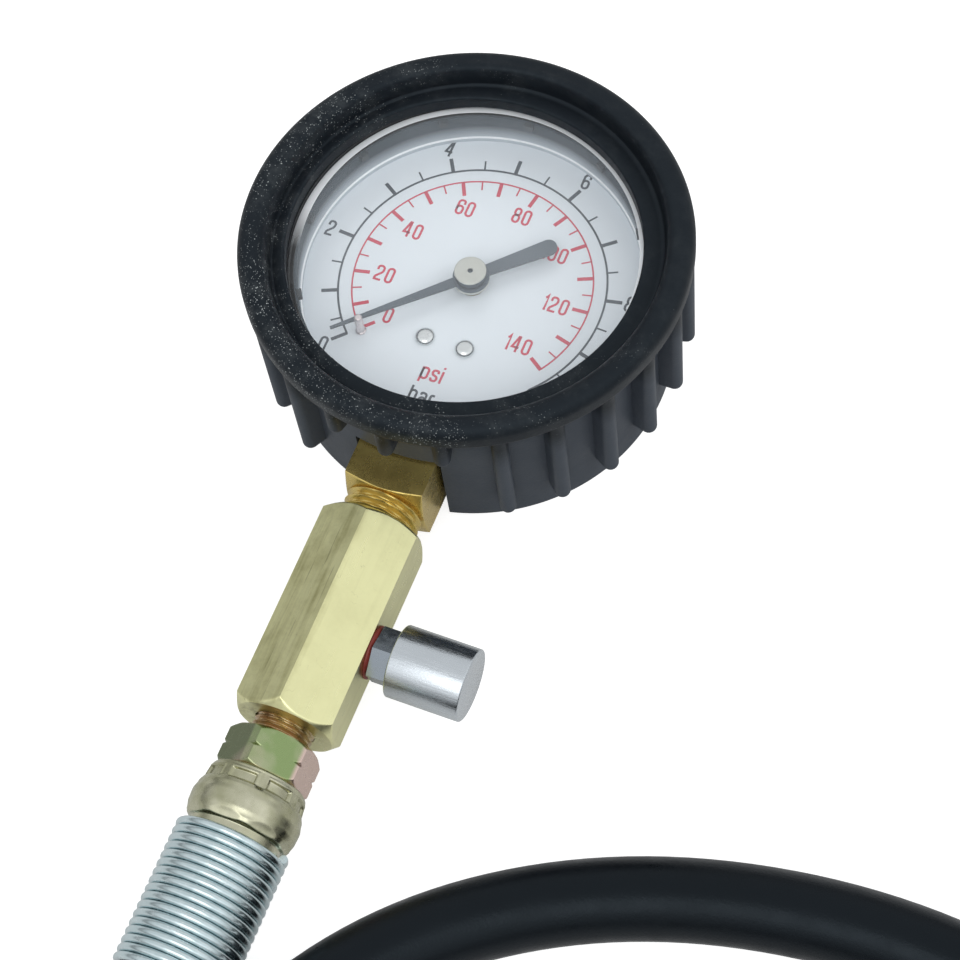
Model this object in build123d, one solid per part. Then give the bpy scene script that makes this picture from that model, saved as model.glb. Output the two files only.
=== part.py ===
from build123d import *
import math
import os

# Engine oil pressure tester: a 63 mm pressure gauge in a rubber boot, a hexagon brass
# body with a push-button bleed valve, and a braided hose with crimped ends.
# Millimetres. The tester lies on its back on the table plane z = 0. The origin is under
# the centre of the dial, +Z is the way the dial faces, -Y is the way the stem points and
# +X is the way the bleed button points.

# dial and case
dial_z = 20.0              # front face of the dial above the table
dial_t = 0.8
dial_gap = 0.3             # between the dial's edge and the case
dial_hole_r = 2.4          # hole for the pointer shaft
case_r = 31.5              # 63 mm case
case_wall = 1.4
case_back_t = 1.3
window_t = 2.1
window_rebate = 0.7        # case wall left round the window
window_top_z = 29.4
ring_wall = 0.5            # spacer ring between dial and window
seat_gap = 0.1             # clearance of a piece that is seated in another

# rubber boot
boot_wall = 3.0
boot_floor_t = 2.0
lip_cover = 1.5            # how far the lip reaches in over the case
lip_top_z = 32.2
groove_in = 1.3            # groove between lip and roll, inside the outer wall
groove_z = 31.7
roll_in = 0.5              # inner side of the roll, inside the outer wall
roll_out = 3.9             # how far the roll stands out of the wall
roll_top_z = 37.0
roll_low_z = 32.1
roll_in_fillet = 1.4
roll_out_fillet = 2.7
roll_low_fillet = 0.9
cone_h = 1.0               # short cone where the wall meets the roll
rib_count = 24
rib_r = 1.45
rib_out = 3.75             # how far a rib stands out of the wall
rib_low_z = 6.3
short_rib_low_z = 24.4
slot_gap = 0.7             # room of the boot's cut-out round the stem block
boot_edge = 0.8

# stem
stem_z = 11.6
block_w = 14.0
block_out = 6.5            # block outside the boot's wall
block_chamfer = 1.0
block_in_y = -17.0         # inner end of the full block
tongue_y = -8.6            # inner end of the tongue that carries the movement
stem_thread_r = 6.85       # 1/4-18 pipe thread
stem_thread_show = 4.3     # thread between block and hexagon body
stem_thread_in = 8.7
stem_bore_r = 2.5

# movement
plate_t = 1.2
back_plate_z = 6.0
front_plate_z = 14.0
post_x = 3.66              # dial screws, measured on the dial
post_y = -12.5
post_r = 2.2
screw_head_r = 1.65
screw_head_h = 1.1
screw_r = 0.9
pillar_r = 1.5
pillars = ((-5.6, 4.6), (14.4, 10.4))
pivot_from_tube = 8.8      # sector pivot to the middle of the Bourdon tube
pinion_teeth = 12
sector_full_teeth = 96     # teeth of the sector's full circle
sector_teeth = 12
sector_dir = 19.9          # degrees above +X, direction of the sector's pivot
gear_z = 9.0
gear_t = 1.2
tooth_share = 0.38         # tooth thickness as a share of the pitch: the rest is backlash
addendum = 0.22
dedendum = 0.42
arbor_r = 0.8
pivot_r = 1.0
running_gap = 0.06
sector_hub_r = 2.6
tail_len = 5.0             # sector pivot to the link pin
link_pin_r = 0.6
pin_above_end = 2.45       # tip pin to the open end of the Bourdon tube
link_w = 2.6
tab_w = 1.8
link_t = 0.8
link_lift = 0.3            # gap between the sector and the link
slot_len = 3.3             # open end of the link
travel_deg = 33.75         # sector travel for the full pointer sweep
hairspring_in_r = 1.55
hairspring_pitch = 0.75
hairspring_turn_count = 4
hairspring_t = 0.22
hairspring_h = 0.7
hairspring_z = 12.0
collet_r = 1.3

# Bourdon tube
tube_r = 25.0
tube_w = 9.0
tube_thick = 3.4
tube_wall = 0.5
tube_end_deg = -16.0
tip_len = 4.0
tip_wall = 0.6

# pointer
pointer_z = 22.3
pointer_t = 0.5
pointer_deg = 132.7        # anticlockwise from 12 o'clock, resting on the stop pin
pointer_len = 25.8
tail_end_r = 15.8
tail_tip_r = 1.5
pointer_w = 1.9
pointer_tip_w = 0.4
collar_r = 3.7
collar_drop = 0.9
hub_r = 3.0
hub_h = 1.6
pin_x = -14.6
pin_y = -14.95
pin_r = 0.5
pin_h = 4.6

# hexagon body
body_af = 17.0
body_len = 38.1
body_chamfer = 1.5
bore_mouth_r = 6.95        # takes the 1/4 pipe thread
bore_depth = 11.0
body_bore_r = 2.5
hose_thread_r = 5.145      # 1/8-27 pipe thread
low_bore_gap = 0.1
low_bore_depth = 10.5

# bleed valve
valve_from_top = 20.96     # along the hexagon body
seal_t = 0.8
seal_r = 4.7
neck_af = 8.73
neck_len = 5.4
neck_turn = 11.0           # clocking of the neck's hexagon
shank_r = 3.9
shank_len = 5.0
guide_r = 3.3
guide_len = 3.0
cap_r = 6.25
cap_back_x = 12.8
cap_end_x = 25.9
cap_end_t = 3.0
cap_gap = 0.35             # between the cap's bore and the neck's corners
cap_chamfer = 0.35
press_travel = 2.0
plunger_r = 1.2
plunger_gap = 0.08
poppet_r = 1.9
poppet_t = 1.0
oring_t = 0.5
valve_wire_r = 0.3
valve_coil_count = 4

# hose ends
hose_r = 6.7
nut_af = 14.0
hose_thread_show = 3.0     # thread between hexagon body and nut
nut_len = 7.0
nut_turn = 8.0
nut_chamfer = 0.9
notch_depth = 0.55
ferrule_neck_r = 8.2
ferrule_bulge_r = 9.4
ferrule_waist_r = 8.8
ferrule_tail_r = 7.75
ferrule_neck_len = 2.0
ferrule_bulge_at = 5.6
ferrule_waist_at = 9.2
ferrule_step = 0.5         # slope from the waist to the tail
ferrule_len = 18.5
crimp_count = 8
crimp_turn = -4.0          # degrees from the top to the nearest flat and dent
ferrule_flat_r = 8.2       # distance of the crimp's flats from the axis
ferrule_flat_at = 8.2      # where the crimp's flats begin, behind the nut
dent_at = 2.1              # middle of the dents, behind the nut
dent_w = 4.4
dent_len = 1.8
dent_depth = 0.35
collar_len = 6.5           # hose end behind the nut
sleeve_gap = 0.15
guard_wire = 1.69
guard_turn_count = 15
guard_r = 9.6
guard_start = 9.9          # guard behind the nut
far_thread_len = 9.5
far_neck_len = 2.5
far_tip_z = 9.5            # height of the far fitting's axis
crossing_z = 22.3          # the last turn passes over the one under it

# route of the hose, centre line
route = [
    (0, -100, stem_z), (0, -133, stem_z), (-14, -171.5, 7.2), (-14, -211, hose_r),
    (7, -249, hose_r), (48, -275, hose_r), (101, -280, hose_r), (148, -260, hose_r),
    (178, -219, hose_r), (187, -170, hose_r), (177, -123, hose_r), (150.4, -89.8, hose_r),
    (107.7, -79.2, hose_r), (61, -87.4, hose_r), (25.2, -111.5, hose_r),
    (8, -148.5, hose_r), (8.6, -187.5, hose_r), (27, -225, hose_r), (62, -246, hose_r),
    (103, -247, hose_r), (137, -227, 7.5), (158, -193, 14), (168.5, -152, crossing_z),
    (179, -113, crossing_z), (187.5, -78, far_tip_z), (188.5, -44, far_tip_z),
]


# stations that follow from the sizes above
case_in_r = case_r - case_wall
dial_r = case_in_r - dial_gap
window_r = case_r - window_rebate
boot_in_r = case_r + seat_gap
boot_out_r = boot_in_r + boot_wall
lip_r = case_r - lip_cover
groove_r = boot_out_r - groove_in
roll_in_r = boot_out_r - roll_in
roll_out_r = boot_out_r + roll_out
rib_out_r = boot_out_r + rib_out
block_end_y = -boot_out_r - block_out
body_top_y = block_end_y - stem_thread_show
stem_thread_end_y = body_top_y - stem_thread_in
body_low_y = body_top_y - body_len
valve_y = body_top_y - valve_from_top
nut_top_y = body_low_y - hose_thread_show
nut_low_y = nut_top_y - nut_len
guard_start_y = nut_low_y - guard_start


def spun(points):
    """Solid of revolution about Z from (radius, z) points."""
    return revolve(Plane.XZ * make_face(Polyline(*points, close=True)), Axis.Z)


def turned(points, x=0.0, z=0.0):
    """Solid of revolution about a line parallel to Y from (y, radius) points."""
    face = make_face(Polyline(*[(r, y) for y, r in points], close=True))
    return Pos(x, 0, z) * revolve(face, Axis.Y)


def turned_x(points, y, z):
    """Solid of revolution about a line parallel to X from (x, radius) points."""
    face = make_face(Polyline(*points, close=True))
    return Pos(0, y, z) * revolve(face, Axis.X)


def rod_y(radius, y0, y1):
    """Cylinder on the stem axis between two y values."""
    return Pos(0, (y0 + y1) / 2, stem_z) * Rot(90, 0, 0) * Cylinder(radius, abs(y1 - y0))


def rod_z(radius, x, y, z0, z1):
    return Pos(x, y, (z0 + z1) / 2) * Cylinder(radius, z1 - z0)


def slab(sketch, z0, thickness):
    """Flat plate from a sketch, standing on z0."""
    return Pos(0, 0, z0) * extrude(sketch, thickness)


def hexagon_y(af, y0, y1, turn):
    """Hexagon bar on the stem axis with a corner towards +Z when turn is 0."""
    sketch = RegularPolygon(af / 2, 6, major_radius=False, rotation=turn + 30)
    bar = extrude(Plane.XZ.offset(-y0) * sketch, y0 - y1)
    return Pos(0, 0, stem_z) * bar


def barrel_cut(af, y0, y1, chamfer_len):
    """Turned envelope that chamfers both ends of a hexagon bar."""
    flat = af / 2
    corner = flat / math.cos(math.pi / 6) + 0.01
    points = [
        (y0, 0), (y0, flat * 0.97), (y0 - chamfer_len, corner),
        (y1 + chamfer_len, corner), (y1, flat * 0.97), (y1, 0),
    ]
    return turned(points, z=stem_z)


# gauge case and window
case_back_z = boot_floor_t + seat_gap
case_rim_z = window_top_z - 0.15
window_z = window_top_z - window_t
gauge_case = spun([
    (0, case_back_z), (case_r - 1.0, case_back_z), (case_r, case_back_z + 1.0),
    (case_r, case_rim_z), (window_r + seat_gap, case_rim_z),
    (window_r + seat_gap, window_z), (case_in_r, window_z),
    (case_in_r, case_back_z + case_back_t), (0, case_back_z + case_back_t),
])
stem_hole = Pos(0, -case_r, stem_z) * Box(
    block_w + 2 * seat_gap, 3 * case_wall + 6, block_w + 2 * seat_gap)
gauge_case -= stem_hole

window_edge = 0.25
window = spun([
    (0, window_z), (window_r, window_z), (window_r, window_top_z - window_edge),
    (window_r - window_edge, window_top_z), (0, window_top_z),
])

spacer_ring = spun([
    (case_in_r - seat_gap - ring_wall, dial_z), (case_in_r - seat_gap, dial_z),
    (case_in_r - seat_gap, window_z), (case_in_r - seat_gap - ring_wall, window_z),
])

dial_plate = slab(Circle(dial_r) - Circle(dial_hole_r), dial_z - dial_t, dial_t)
for side in (-1, 1):
    dial_plate -= rod_z(screw_r + seat_gap, side * post_x, post_y, dial_z - 2, dial_z + 1)
dial_plate -= rod_z(pin_r, pin_x, pin_y, dial_z - 2, dial_z + 1)

# rubber boot
boot_lip_z = window_top_z + seat_gap
roll_section = Polyline(
    (0, 0), (boot_out_r - boot_edge, 0), (boot_out_r, boot_edge),
    (boot_out_r, roll_low_z - cone_h), (boot_out_r + 0.8 * cone_h, roll_low_z),
    (roll_out_r, roll_low_z), (roll_out_r, roll_top_z), (roll_in_r, roll_top_z),
    (groove_r, groove_z), (lip_r + 0.4, lip_top_z), (lip_r, lip_top_z - 0.4),
    (lip_r, boot_lip_z), (boot_in_r, boot_lip_z), (boot_in_r, boot_floor_t),
    (0, boot_floor_t), close=True)
roll_face = make_face(roll_section)


def corner(face, r, z):
    """Corner of a section face nearest to a radius and height."""
    return sorted(face.vertices(), key=lambda v: abs(v.X - r) + abs(v.Y - z))[0]


roll_w = roll_out_r - roll_in_r
roll_h = roll_top_z - roll_low_z
outer_fillet = min(roll_out_fillet, 0.62 * roll_w, 0.62 * roll_h)
inner_fillet = min(roll_in_fillet, 0.33 * roll_w)
roll_face = fillet(corner(roll_face, roll_out_r, roll_top_z), outer_fillet)
roll_face = fillet(corner(roll_face, roll_in_r, roll_top_z), inner_fillet)
low_fillet = min(roll_low_fillet, 0.2 * roll_h, 0.25 * roll_out)
roll_face = fillet(corner(roll_face, roll_out_r, roll_low_z), low_fillet)
rubber_boot = revolve(Plane.XZ * roll_face, Axis.Z)

rib_centre_r = rib_out_r - rib_r
rib_top_z = roll_low_z + 0.3


def boot_rib(low_z):
    """Half-round rib with a rounded lower end, standing on the outer wall at -Y."""
    web_r = boot_in_r + 0.5 * boot_wall
    web = Pos(0, -(web_r + rib_centre_r) / 2, (low_z + rib_r + rib_top_z) / 2) * Box(
        2 * rib_r, rib_centre_r - web_r, rib_top_z - low_z - rib_r)
    bar = rod_z(rib_r, 0, -rib_centre_r, low_z + rib_r, rib_top_z)
    foot = Pos(0, -rib_centre_r, low_z + rib_r) * Sphere(rib_r)
    foot_web = Pos(0, -(web_r + rib_centre_r) / 2, low_z + rib_r) * Rot(90, 0, 0) * Cylinder(
        rib_r, rib_centre_r - web_r)
    return web + bar + foot + foot_web


long_rib = boot_rib(rib_low_z)
short_rib = boot_rib(short_rib_low_z)
rib_step = 360 / rib_count
ribs = []
for index in range(rib_count):
    turn = index * rib_step
    near_slot = min(turn, 360 - turn) < 1.3 * rib_step
    rib = short_rib if near_slot else long_rib
    ribs.append(Rot(0, 0, turn) * rib)
rubber_boot = rubber_boot + ribs
cutout_top_z = stem_z + block_w / 2 + slot_gap
cutout = Pos(0, -boot_out_r, cutout_top_z / 2) * Box(
    block_w + 2 * slot_gap, 4 * boot_wall, cutout_top_z)
rubber_boot -= cutout

# stem socket
half = block_w / 2
block = Pos(0, (block_end_y + block_in_y) / 2, stem_z) * Box(
    block_w, block_in_y - block_end_y, block_w)
corner_r = half * math.sqrt(2) + 0.1
block &= turned([
    (block_end_y, 0), (block_end_y, half + 0.1), (block_end_y + block_chamfer, corner_r),
    (block_in_y, corner_r), (block_in_y, 0),
], z=stem_z)
tongue_z0 = back_plate_z + plate_t
tongue = Pos(0, (block_in_y + tongue_y) / 2, (tongue_z0 + front_plate_z) / 2) * Box(
    block_w, tongue_y - block_in_y, front_plate_z - tongue_z0)
stem_socket = block + tongue
stem_socket += rod_y(stem_thread_r, block_end_y + 1, stem_thread_end_y)
stem_socket -= rod_y(stem_bore_r, block_in_y - 8, stem_thread_end_y - 1)

# Bourdon tube with its closed tip
tube_start_deg = 180 + math.degrees(math.acos(half / tube_r)) - 2.0
tube_section = SlotOverall(tube_w, tube_thick, rotation=90)
tube_section -= SlotOverall(
    tube_w - 2 * tube_wall, tube_thick - 2 * tube_wall, rotation=90)
tube_sweep = tube_start_deg + 4.0 - tube_end_deg
tube_face = Plane.XZ * Pos(tube_r, stem_z) * tube_section
bourdon_tube = Rot(0, 0, tube_end_deg) * revolve(tube_face, Axis.Z, tube_sweep)
bourdon_tube -= Pos(0, -tube_r, stem_z) * Box(block_w, tube_r, block_w + 4)

tip_face = Plane.XZ * Pos(tube_r, stem_z) * SlotOverall(
    tube_w, tube_thick, rotation=90)
tip_sweep = math.degrees(tip_len / tube_r)
tube_tip = Rot(0, 0, tube_end_deg - tip_sweep) * revolve(tip_face, Axis.Z, tip_sweep)

# movement
centre_distance = tube_r - pivot_from_tube
gear_module = 2 * centre_distance / (pinion_teeth + sector_full_teeth)
pitch_pinion = gear_module * pinion_teeth / 2
pitch_sector = gear_module * sector_full_teeth / 2
sector_angle = math.radians(sector_dir)
pivot_x = centre_distance * math.cos(sector_angle)
pivot_y = centre_distance * math.sin(sector_angle)
tail_dir = -travel_deg / 2
tail_x = pivot_x + tail_len * math.cos(math.radians(tail_dir))
tail_y = pivot_y + tail_len * math.sin(math.radians(tail_dir))
tooth_step = 360 / sector_full_teeth
pinion_step = 360 / pinion_teeth


def tooth(pitch_radius, outward):
    """One straight-sided tooth pointing along +X, centred on the pitch circle."""
    width = math.pi * gear_module * tooth_share
    lean = 0.12
    return make_face(Polyline(
        (pitch_radius - dedendum - 0.15, -width / 2 - lean),
        (pitch_radius + outward, -width / 2 + lean),
        (pitch_radius + outward, width / 2 - lean),
        (pitch_radius - dedendum - 0.15, width / 2 + lean), close=True))


mesh_dir = 180 + sector_dir
sector_root = pitch_sector - dedendum
arc_low = mesh_dir - (sector_teeth - 1.5) * tooth_step
arc_high = mesh_dir + 1.5 * tooth_step
wedge = [(0, 0)]
for index in range(13):
    angle = math.radians(arc_low + (arc_high - arc_low) * index / 12)
    wedge.append((sector_root * math.cos(angle), sector_root * math.sin(angle)))
sector_sketch = make_face(Polyline(*wedge, close=True)) + Circle(sector_hub_r)
for index in range(sector_teeth):
    angle = mesh_dir + (1 - index) * tooth_step
    sector_sketch += Rot(0, 0, angle) * tooth(pitch_sector, addendum)
mid_dir = (arc_low + arc_high) / 2
sector_sketch -= Rot(0, 0, mid_dir) * Pos(sector_root * 0.62, 0) * SlotOverall(
    sector_root * 0.34, sector_root * 0.16)
tail = Rot(0, 0, tail_dir) * Pos(tail_len / 2, 0) * SlotOverall(
    tail_len + 2 * link_pin_r + 1.6, 2 * link_pin_r + 1.6)
sector_sketch += tail
sector_gear = Pos(pivot_x, pivot_y, 0) * slab(sector_sketch, gear_z, gear_t)
front_plate_top = front_plate_z + plate_t
sector_gear += rod_z(
    pivot_r, pivot_x, pivot_y, back_plate_z + 0.2, front_plate_top - 0.2)
sector_gear += rod_z(1.7, pivot_x, pivot_y, tongue_z0 + 0.3, front_plate_z - 0.3)
link_z = gear_z + gear_t + link_lift
sector_gear += rod_z(link_pin_r, tail_x, tail_y, gear_z, link_z + link_t + 0.4)

pinion_sketch = Circle(pitch_pinion - dedendum)
for index in range(pinion_teeth):
    angle = sector_dir + (index + 0.5) * pinion_step
    pinion_sketch += Rot(0, 0, angle) * tooth(pitch_pinion, addendum)
pointer_top = pointer_z + pointer_t
pinion_arbor = rod_z(arbor_r, 0, 0, back_plate_z + 0.2, pointer_top + 0.9)
pinion_arbor += slab(pinion_sketch, gear_z - 0.3, gear_t + 0.6)
pinion_arbor += rod_z(collet_r, 0, 0, hairspring_z - 0.2, hairspring_z + hairspring_h + 0.2)

tube_end_y = tube_r * math.sin(math.radians(tube_end_deg))
tip_pin_y = tube_end_y + pin_above_end - tail_y
link_slot_w = 2 * link_pin_r + 0.8
link_sketch = make_face(Polyline(
    (-link_w / 2, 0.4), (link_w / 2, 0.4),
    (link_w / 2, tip_pin_y - slot_len - 1.2), (-link_w / 2, tip_pin_y - slot_len - 1.2),
    close=True))
link_sketch += Circle(link_w / 2)
link_sketch -= Circle(link_pin_r + running_gap)
link_sketch -= Pos(0, tip_pin_y - slot_len / 2 + 0.5) * SlotOverall(
    slot_len + link_slot_w, link_slot_w, rotation=90)
link = Pos(tail_x, tail_y, 0) * slab(link_sketch, link_z, link_t)

# tab and pin on the tube's tip, under the open end of the link
tip_angle = math.radians(tube_end_deg - tip_sweep * 0.7)
tab_x = tube_r * math.cos(tip_angle)
tab_y = tube_r * math.sin(tip_angle)
tab_len = math.hypot(tab_x - tail_x, tab_y - tail_y - tip_pin_y)
tab_dir = math.degrees(math.atan2(tab_y - tail_y - tip_pin_y, tab_x - tail_x))
tab = Pos(tail_x, tail_y + tip_pin_y) * Rot(0, 0, tab_dir) * Pos(tab_len / 2, 0) * (
    SlotOverall(tab_len + tab_w, tab_w))
tube_tip += slab(tab, gear_z, gear_t)
tube_tip += rod_z(link_pin_r, tail_x, tail_y + tip_pin_y, gear_z, link_z + link_t + 0.4)

plate_sketch = make_face(Polyline(
    (-half + 0.5, block_in_y + 0.5), (half - 0.5, block_in_y + 0.5), (half - 0.5, tongue_y),
    (pivot_x + 3.2, pivot_y - 3.0), (pivot_x + 3.2, pivot_y + 2.0),
    (pillars[1][0] + 2.2, pillars[1][1] + 2.2), (pillars[1][0] - 3.0, pillars[1][1] + 2.2),
    (pillars[0][0] + 2.0, pillars[0][1] + 2.6), (pillars[0][0] - 2.4, pillars[0][1] + 2.6),
    (pillars[0][0] - 2.4, tongue_y + 2.0), (-half + 0.5, tongue_y), close=True))
plate_sketch -= Circle(arbor_r + running_gap)
plate_sketch -= Pos(pivot_x, pivot_y) * Circle(pivot_r + running_gap)
back_plate = slab(plate_sketch, back_plate_z, plate_t)
front_plate = slab(plate_sketch, front_plate_z, plate_t)
movement_pillars = [
    rod_z(pillar_r, x, y, tongue_z0, front_plate_z) for x, y in pillars]

# the hairspring is a flat spiral of half circles about two centres
step = hairspring_pitch / 2
outer_edges = []
inner_edges = []
for index in range(2 * hairspring_turn_count):
    shift = step / 2 if index % 2 else -step / 2
    radius = hairspring_in_r + step * (index + 0.5)
    start = 0 if index % 2 == 0 else 180
    outer_edges.append(CenterArc((shift, 0), radius + hairspring_t / 2, start, 180))
    inner_edges.append(CenterArc((shift, 0), radius - hairspring_t / 2, start, 180))
ends = []
for index, place in ((0, 0.0), (-1, 1.0)):
    ends.append(Line(outer_edges[index] @ place, inner_edges[index] @ place))
spiral = make_face(outer_edges + inner_edges + ends)
hairspring = slab(spiral, hairspring_z, hairspring_h)
stud_x = (outer_edges[-1] @ 1.0).X + 0.6
front_plate += rod_z(0.5, stud_x, 0, hairspring_z, front_plate_z + 0.2)

dial_posts = []
dial_screws = []
movement_screws = []
for side in (-1, 1):
    post = rod_z(post_r, side * post_x, post_y, front_plate_top, dial_z - dial_t)
    post -= rod_z(screw_r + 0.02, side * post_x, post_y, front_plate_top + 1, dial_z)
    dial_posts.append(post)
    head = rod_z(screw_head_r, side * post_x, post_y, dial_z, dial_z + screw_head_h)
    head = fillet(head.edges().sort_by(Axis.Z)[-1], 0.55)
    shank = rod_z(screw_r, side * post_x, post_y, front_plate_top + 1.2, dial_z + 0.1)
    screw = head + shank
    screw -= Pos(side * post_x, post_y, dial_z + screw_head_h) * Box(0.5, 9, 0.9)
    dial_screws.append(screw)
    low = rod_z(2.0, side * post_x, post_y, back_plate_z - 1.3, back_plate_z)
    movement_screws.append(low)

# pointer, hub and stop pin
tail_r = tail_end_r - tail_tip_r
needle = make_face(Polyline(
    (-pointer_w / 2, 0), (-pointer_tip_w / 2, pointer_len), (pointer_tip_w / 2, pointer_len),
    (pointer_w / 2, 0), close=True))
needle += make_face(Polyline(
    (-pointer_w / 2, 0), (pointer_w / 2, 0), (tail_tip_r, -tail_r), (-tail_tip_r, -tail_r),
    close=True))
needle += Pos(0, -tail_r) * Circle(tail_tip_r)
pointer = slab(needle, pointer_z, pointer_t)
collar_z = pointer_z - collar_drop
pointer += rod_z(collar_r, 0, 0, collar_z, pointer_top + 0.1)
pointer -= rod_z(arbor_r + 0.02, 0, 0, collar_z - 1, pointer_top + 2)
pointer = Rot(0, 0, pointer_deg) * pointer
hub_z = pointer_top + 0.1
pointer_hub = rod_z(hub_r, 0, 0, hub_z, hub_z + hub_h)
pointer_hub = fillet(pointer_hub.edges().sort_by(Axis.Z)[-1], 0.4)
pointer_hub -= rod_z(0.45, 0, 0, hub_z + hub_h - 0.6, hub_z + hub_h + 1)
pointer_hub -= rod_z(arbor_r + 0.02, 0, 0, hub_z - 1, hub_z + 0.82)
stop_pin = rod_z(pin_r, pin_x, pin_y, dial_z - dial_t, dial_z + pin_h)

# hexagon body
valve_body = hexagon_y(body_af, body_top_y, body_low_y, 0)
valve_body &= barrel_cut(body_af, body_top_y, body_low_y, body_chamfer)
valve_body -= rod_y(bore_mouth_r, body_top_y + 1, body_top_y - bore_depth)
valve_body -= rod_y(body_bore_r, body_top_y, body_low_y)
low_bore_r = hose_thread_r + low_bore_gap
valve_body -= rod_y(low_bore_r, body_low_y + low_bore_depth, body_low_y - 1)
flat_x = body_af / 2
port_r = shank_r + seat_gap
valve_body -= turned_x([
    (0, 0), (0, poppet_r + 0.6), (flat_x - shank_len, poppet_r + 0.6),
    (flat_x - shank_len, port_r), (flat_x + 1, port_r), (flat_x + 1, 0),
], valve_y, stem_z)

# bleed valve
neck_x = flat_x + seal_t
neck_end_x = neck_x + neck_len
guide_x = neck_end_x + guide_len
shank_x = flat_x - shank_len + 0.2
neck_corner_r = neck_af / 2 / math.cos(math.pi / 6)
relief_seal = turned_x([
    (flat_x, port_r), (flat_x, seal_r), (neck_x, seal_r), (neck_x, port_r),
], valve_y, stem_z)
neck = extrude(
    Plane.YZ.offset(neck_x) * RegularPolygon(
        neck_af / 2, 6, major_radius=False, rotation=90 + neck_turn), neck_len)
relief_valve_body = Pos(0, valve_y, stem_z) * neck
relief_valve_body += turned_x([
    (shank_x, 0), (shank_x, shank_r), (neck_x + 0.5, shank_r), (neck_x + 0.5, 0),
], valve_y, stem_z)
relief_valve_body += turned_x([
    (neck_end_x - 0.5, 0), (neck_end_x - 0.5, guide_r), (guide_x, guide_r), (guide_x, 0),
], valve_y, stem_z)
relief_valve_body -= turned_x([
    (shank_x - 1, 0), (shank_x - 1, plunger_r + plunger_gap),
    (guide_x + 1, plunger_r + plunger_gap), (guide_x + 1, 0),
], valve_y, stem_z)
cap_in_r = neck_corner_r + cap_gap
relief_button = turned_x([
    (cap_back_x, cap_in_r), (cap_back_x, cap_r), (cap_end_x - cap_chamfer, cap_r),
    (cap_end_x, cap_r - cap_chamfer), (cap_end_x, 0), (cap_end_x - cap_end_t, 0),
    (cap_end_x - cap_end_t, cap_in_r),
], valve_y, stem_z)
cap_floor_x = cap_end_x - cap_end_t
oring_x = shank_x - oring_t - 0.02
relief_plunger = turned_x([
    (oring_x - poppet_t, 0), (oring_x - poppet_t, poppet_r), (oring_x, poppet_r),
    (oring_x, plunger_r), (cap_floor_x, plunger_r), (cap_floor_x, 0),
], valve_y, stem_z)
relief_oring = turned_x([
    (oring_x, plunger_r), (oring_x, poppet_r), (oring_x + oring_t, poppet_r),
    (oring_x + oring_t, plunger_r),
], valve_y, stem_z)
spring_len = cap_floor_x - guide_x - press_travel - 0.2
spring_mid_r = guide_r - valve_wire_r - 0.1
spring_pitch = (spring_len - 2 * valve_wire_r) / (valve_coil_count - 1)
spring_rings = [
    Pos(guide_x + valve_wire_r + index * spring_pitch, valve_y, stem_z) * Rot(0, 90, 0)
    * Torus(spring_mid_r, valve_wire_r) for index in range(valve_coil_count)]


def hose_end(nut_y, nut_end_y, thread_y, turn):
    """Threaded hose insert with its hexagon, on the stem axis."""
    body = hexagon_y(nut_af, nut_y, nut_end_y, turn)
    body &= barrel_cut(nut_af, nut_y, nut_end_y, nut_chamfer)
    nut_corner_r = nut_af / 2 / math.cos(math.pi / 6)
    middle = (nut_y + nut_end_y) / 2
    body -= turned([
        (middle - notch_depth, nut_corner_r + 0.02), (middle, nut_corner_r - notch_depth),
        (middle + notch_depth, nut_corner_r + 0.02),
    ], z=stem_z)
    body += rod_y(hose_thread_r, thread_y, nut_y - 1)
    body += rod_y(hose_r, nut_end_y + 1, nut_end_y - collar_len)
    body -= rod_y(stem_bore_r, thread_y + 1, nut_end_y - collar_len - 1)
    return body


def crimped_ferrule(top_y):
    """Crimped sleeve with staked dents and flats, on the stem axis."""
    neck_y = top_y - ferrule_neck_len
    bulge_y = top_y - ferrule_bulge_at
    waist_y = top_y - ferrule_waist_at
    end_y = top_y - ferrule_len
    bore = hose_r + sleeve_gap
    section = Plane.XY * make_face([
        Line((bore, top_y), (ferrule_neck_r - 0.4, top_y)),
        Line((ferrule_neck_r - 0.4, top_y), (ferrule_neck_r, top_y - 0.4)),
        Line((ferrule_neck_r, top_y - 0.4), (ferrule_neck_r, neck_y)),
        Spline((ferrule_neck_r, neck_y), (ferrule_bulge_r, bulge_y), (ferrule_waist_r, waist_y)),
        Line((ferrule_waist_r, waist_y), (ferrule_tail_r, waist_y - ferrule_step)),
        Line((ferrule_tail_r, waist_y - ferrule_step), (ferrule_tail_r, end_y)),
        Line((ferrule_tail_r, end_y), (bore, end_y)),
        Line((bore, end_y), (bore, top_y)),
    ])
    sleeve = revolve(section, Axis.Y)
    flat_y = top_y - ferrule_flat_at
    die_ring = Plane.XZ.offset(-flat_y) * (
        Circle(ferrule_bulge_r + 2) - RegularPolygon(
            ferrule_flat_r, crimp_count, major_radius=False,
            rotation=180 / crimp_count - crimp_turn))
    sleeve -= extrude(die_ring, ferrule_len)
    for index in range(crimp_count):
        dent = Rot(0, index * 360 / crimp_count + crimp_turn, 0) * Pos(
            0, top_y - dent_at, ferrule_neck_r) * Box(dent_w, dent_len, 2 * dent_depth)
        sleeve -= dent
    return Pos(0, 0, stem_z) * sleeve


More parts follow.
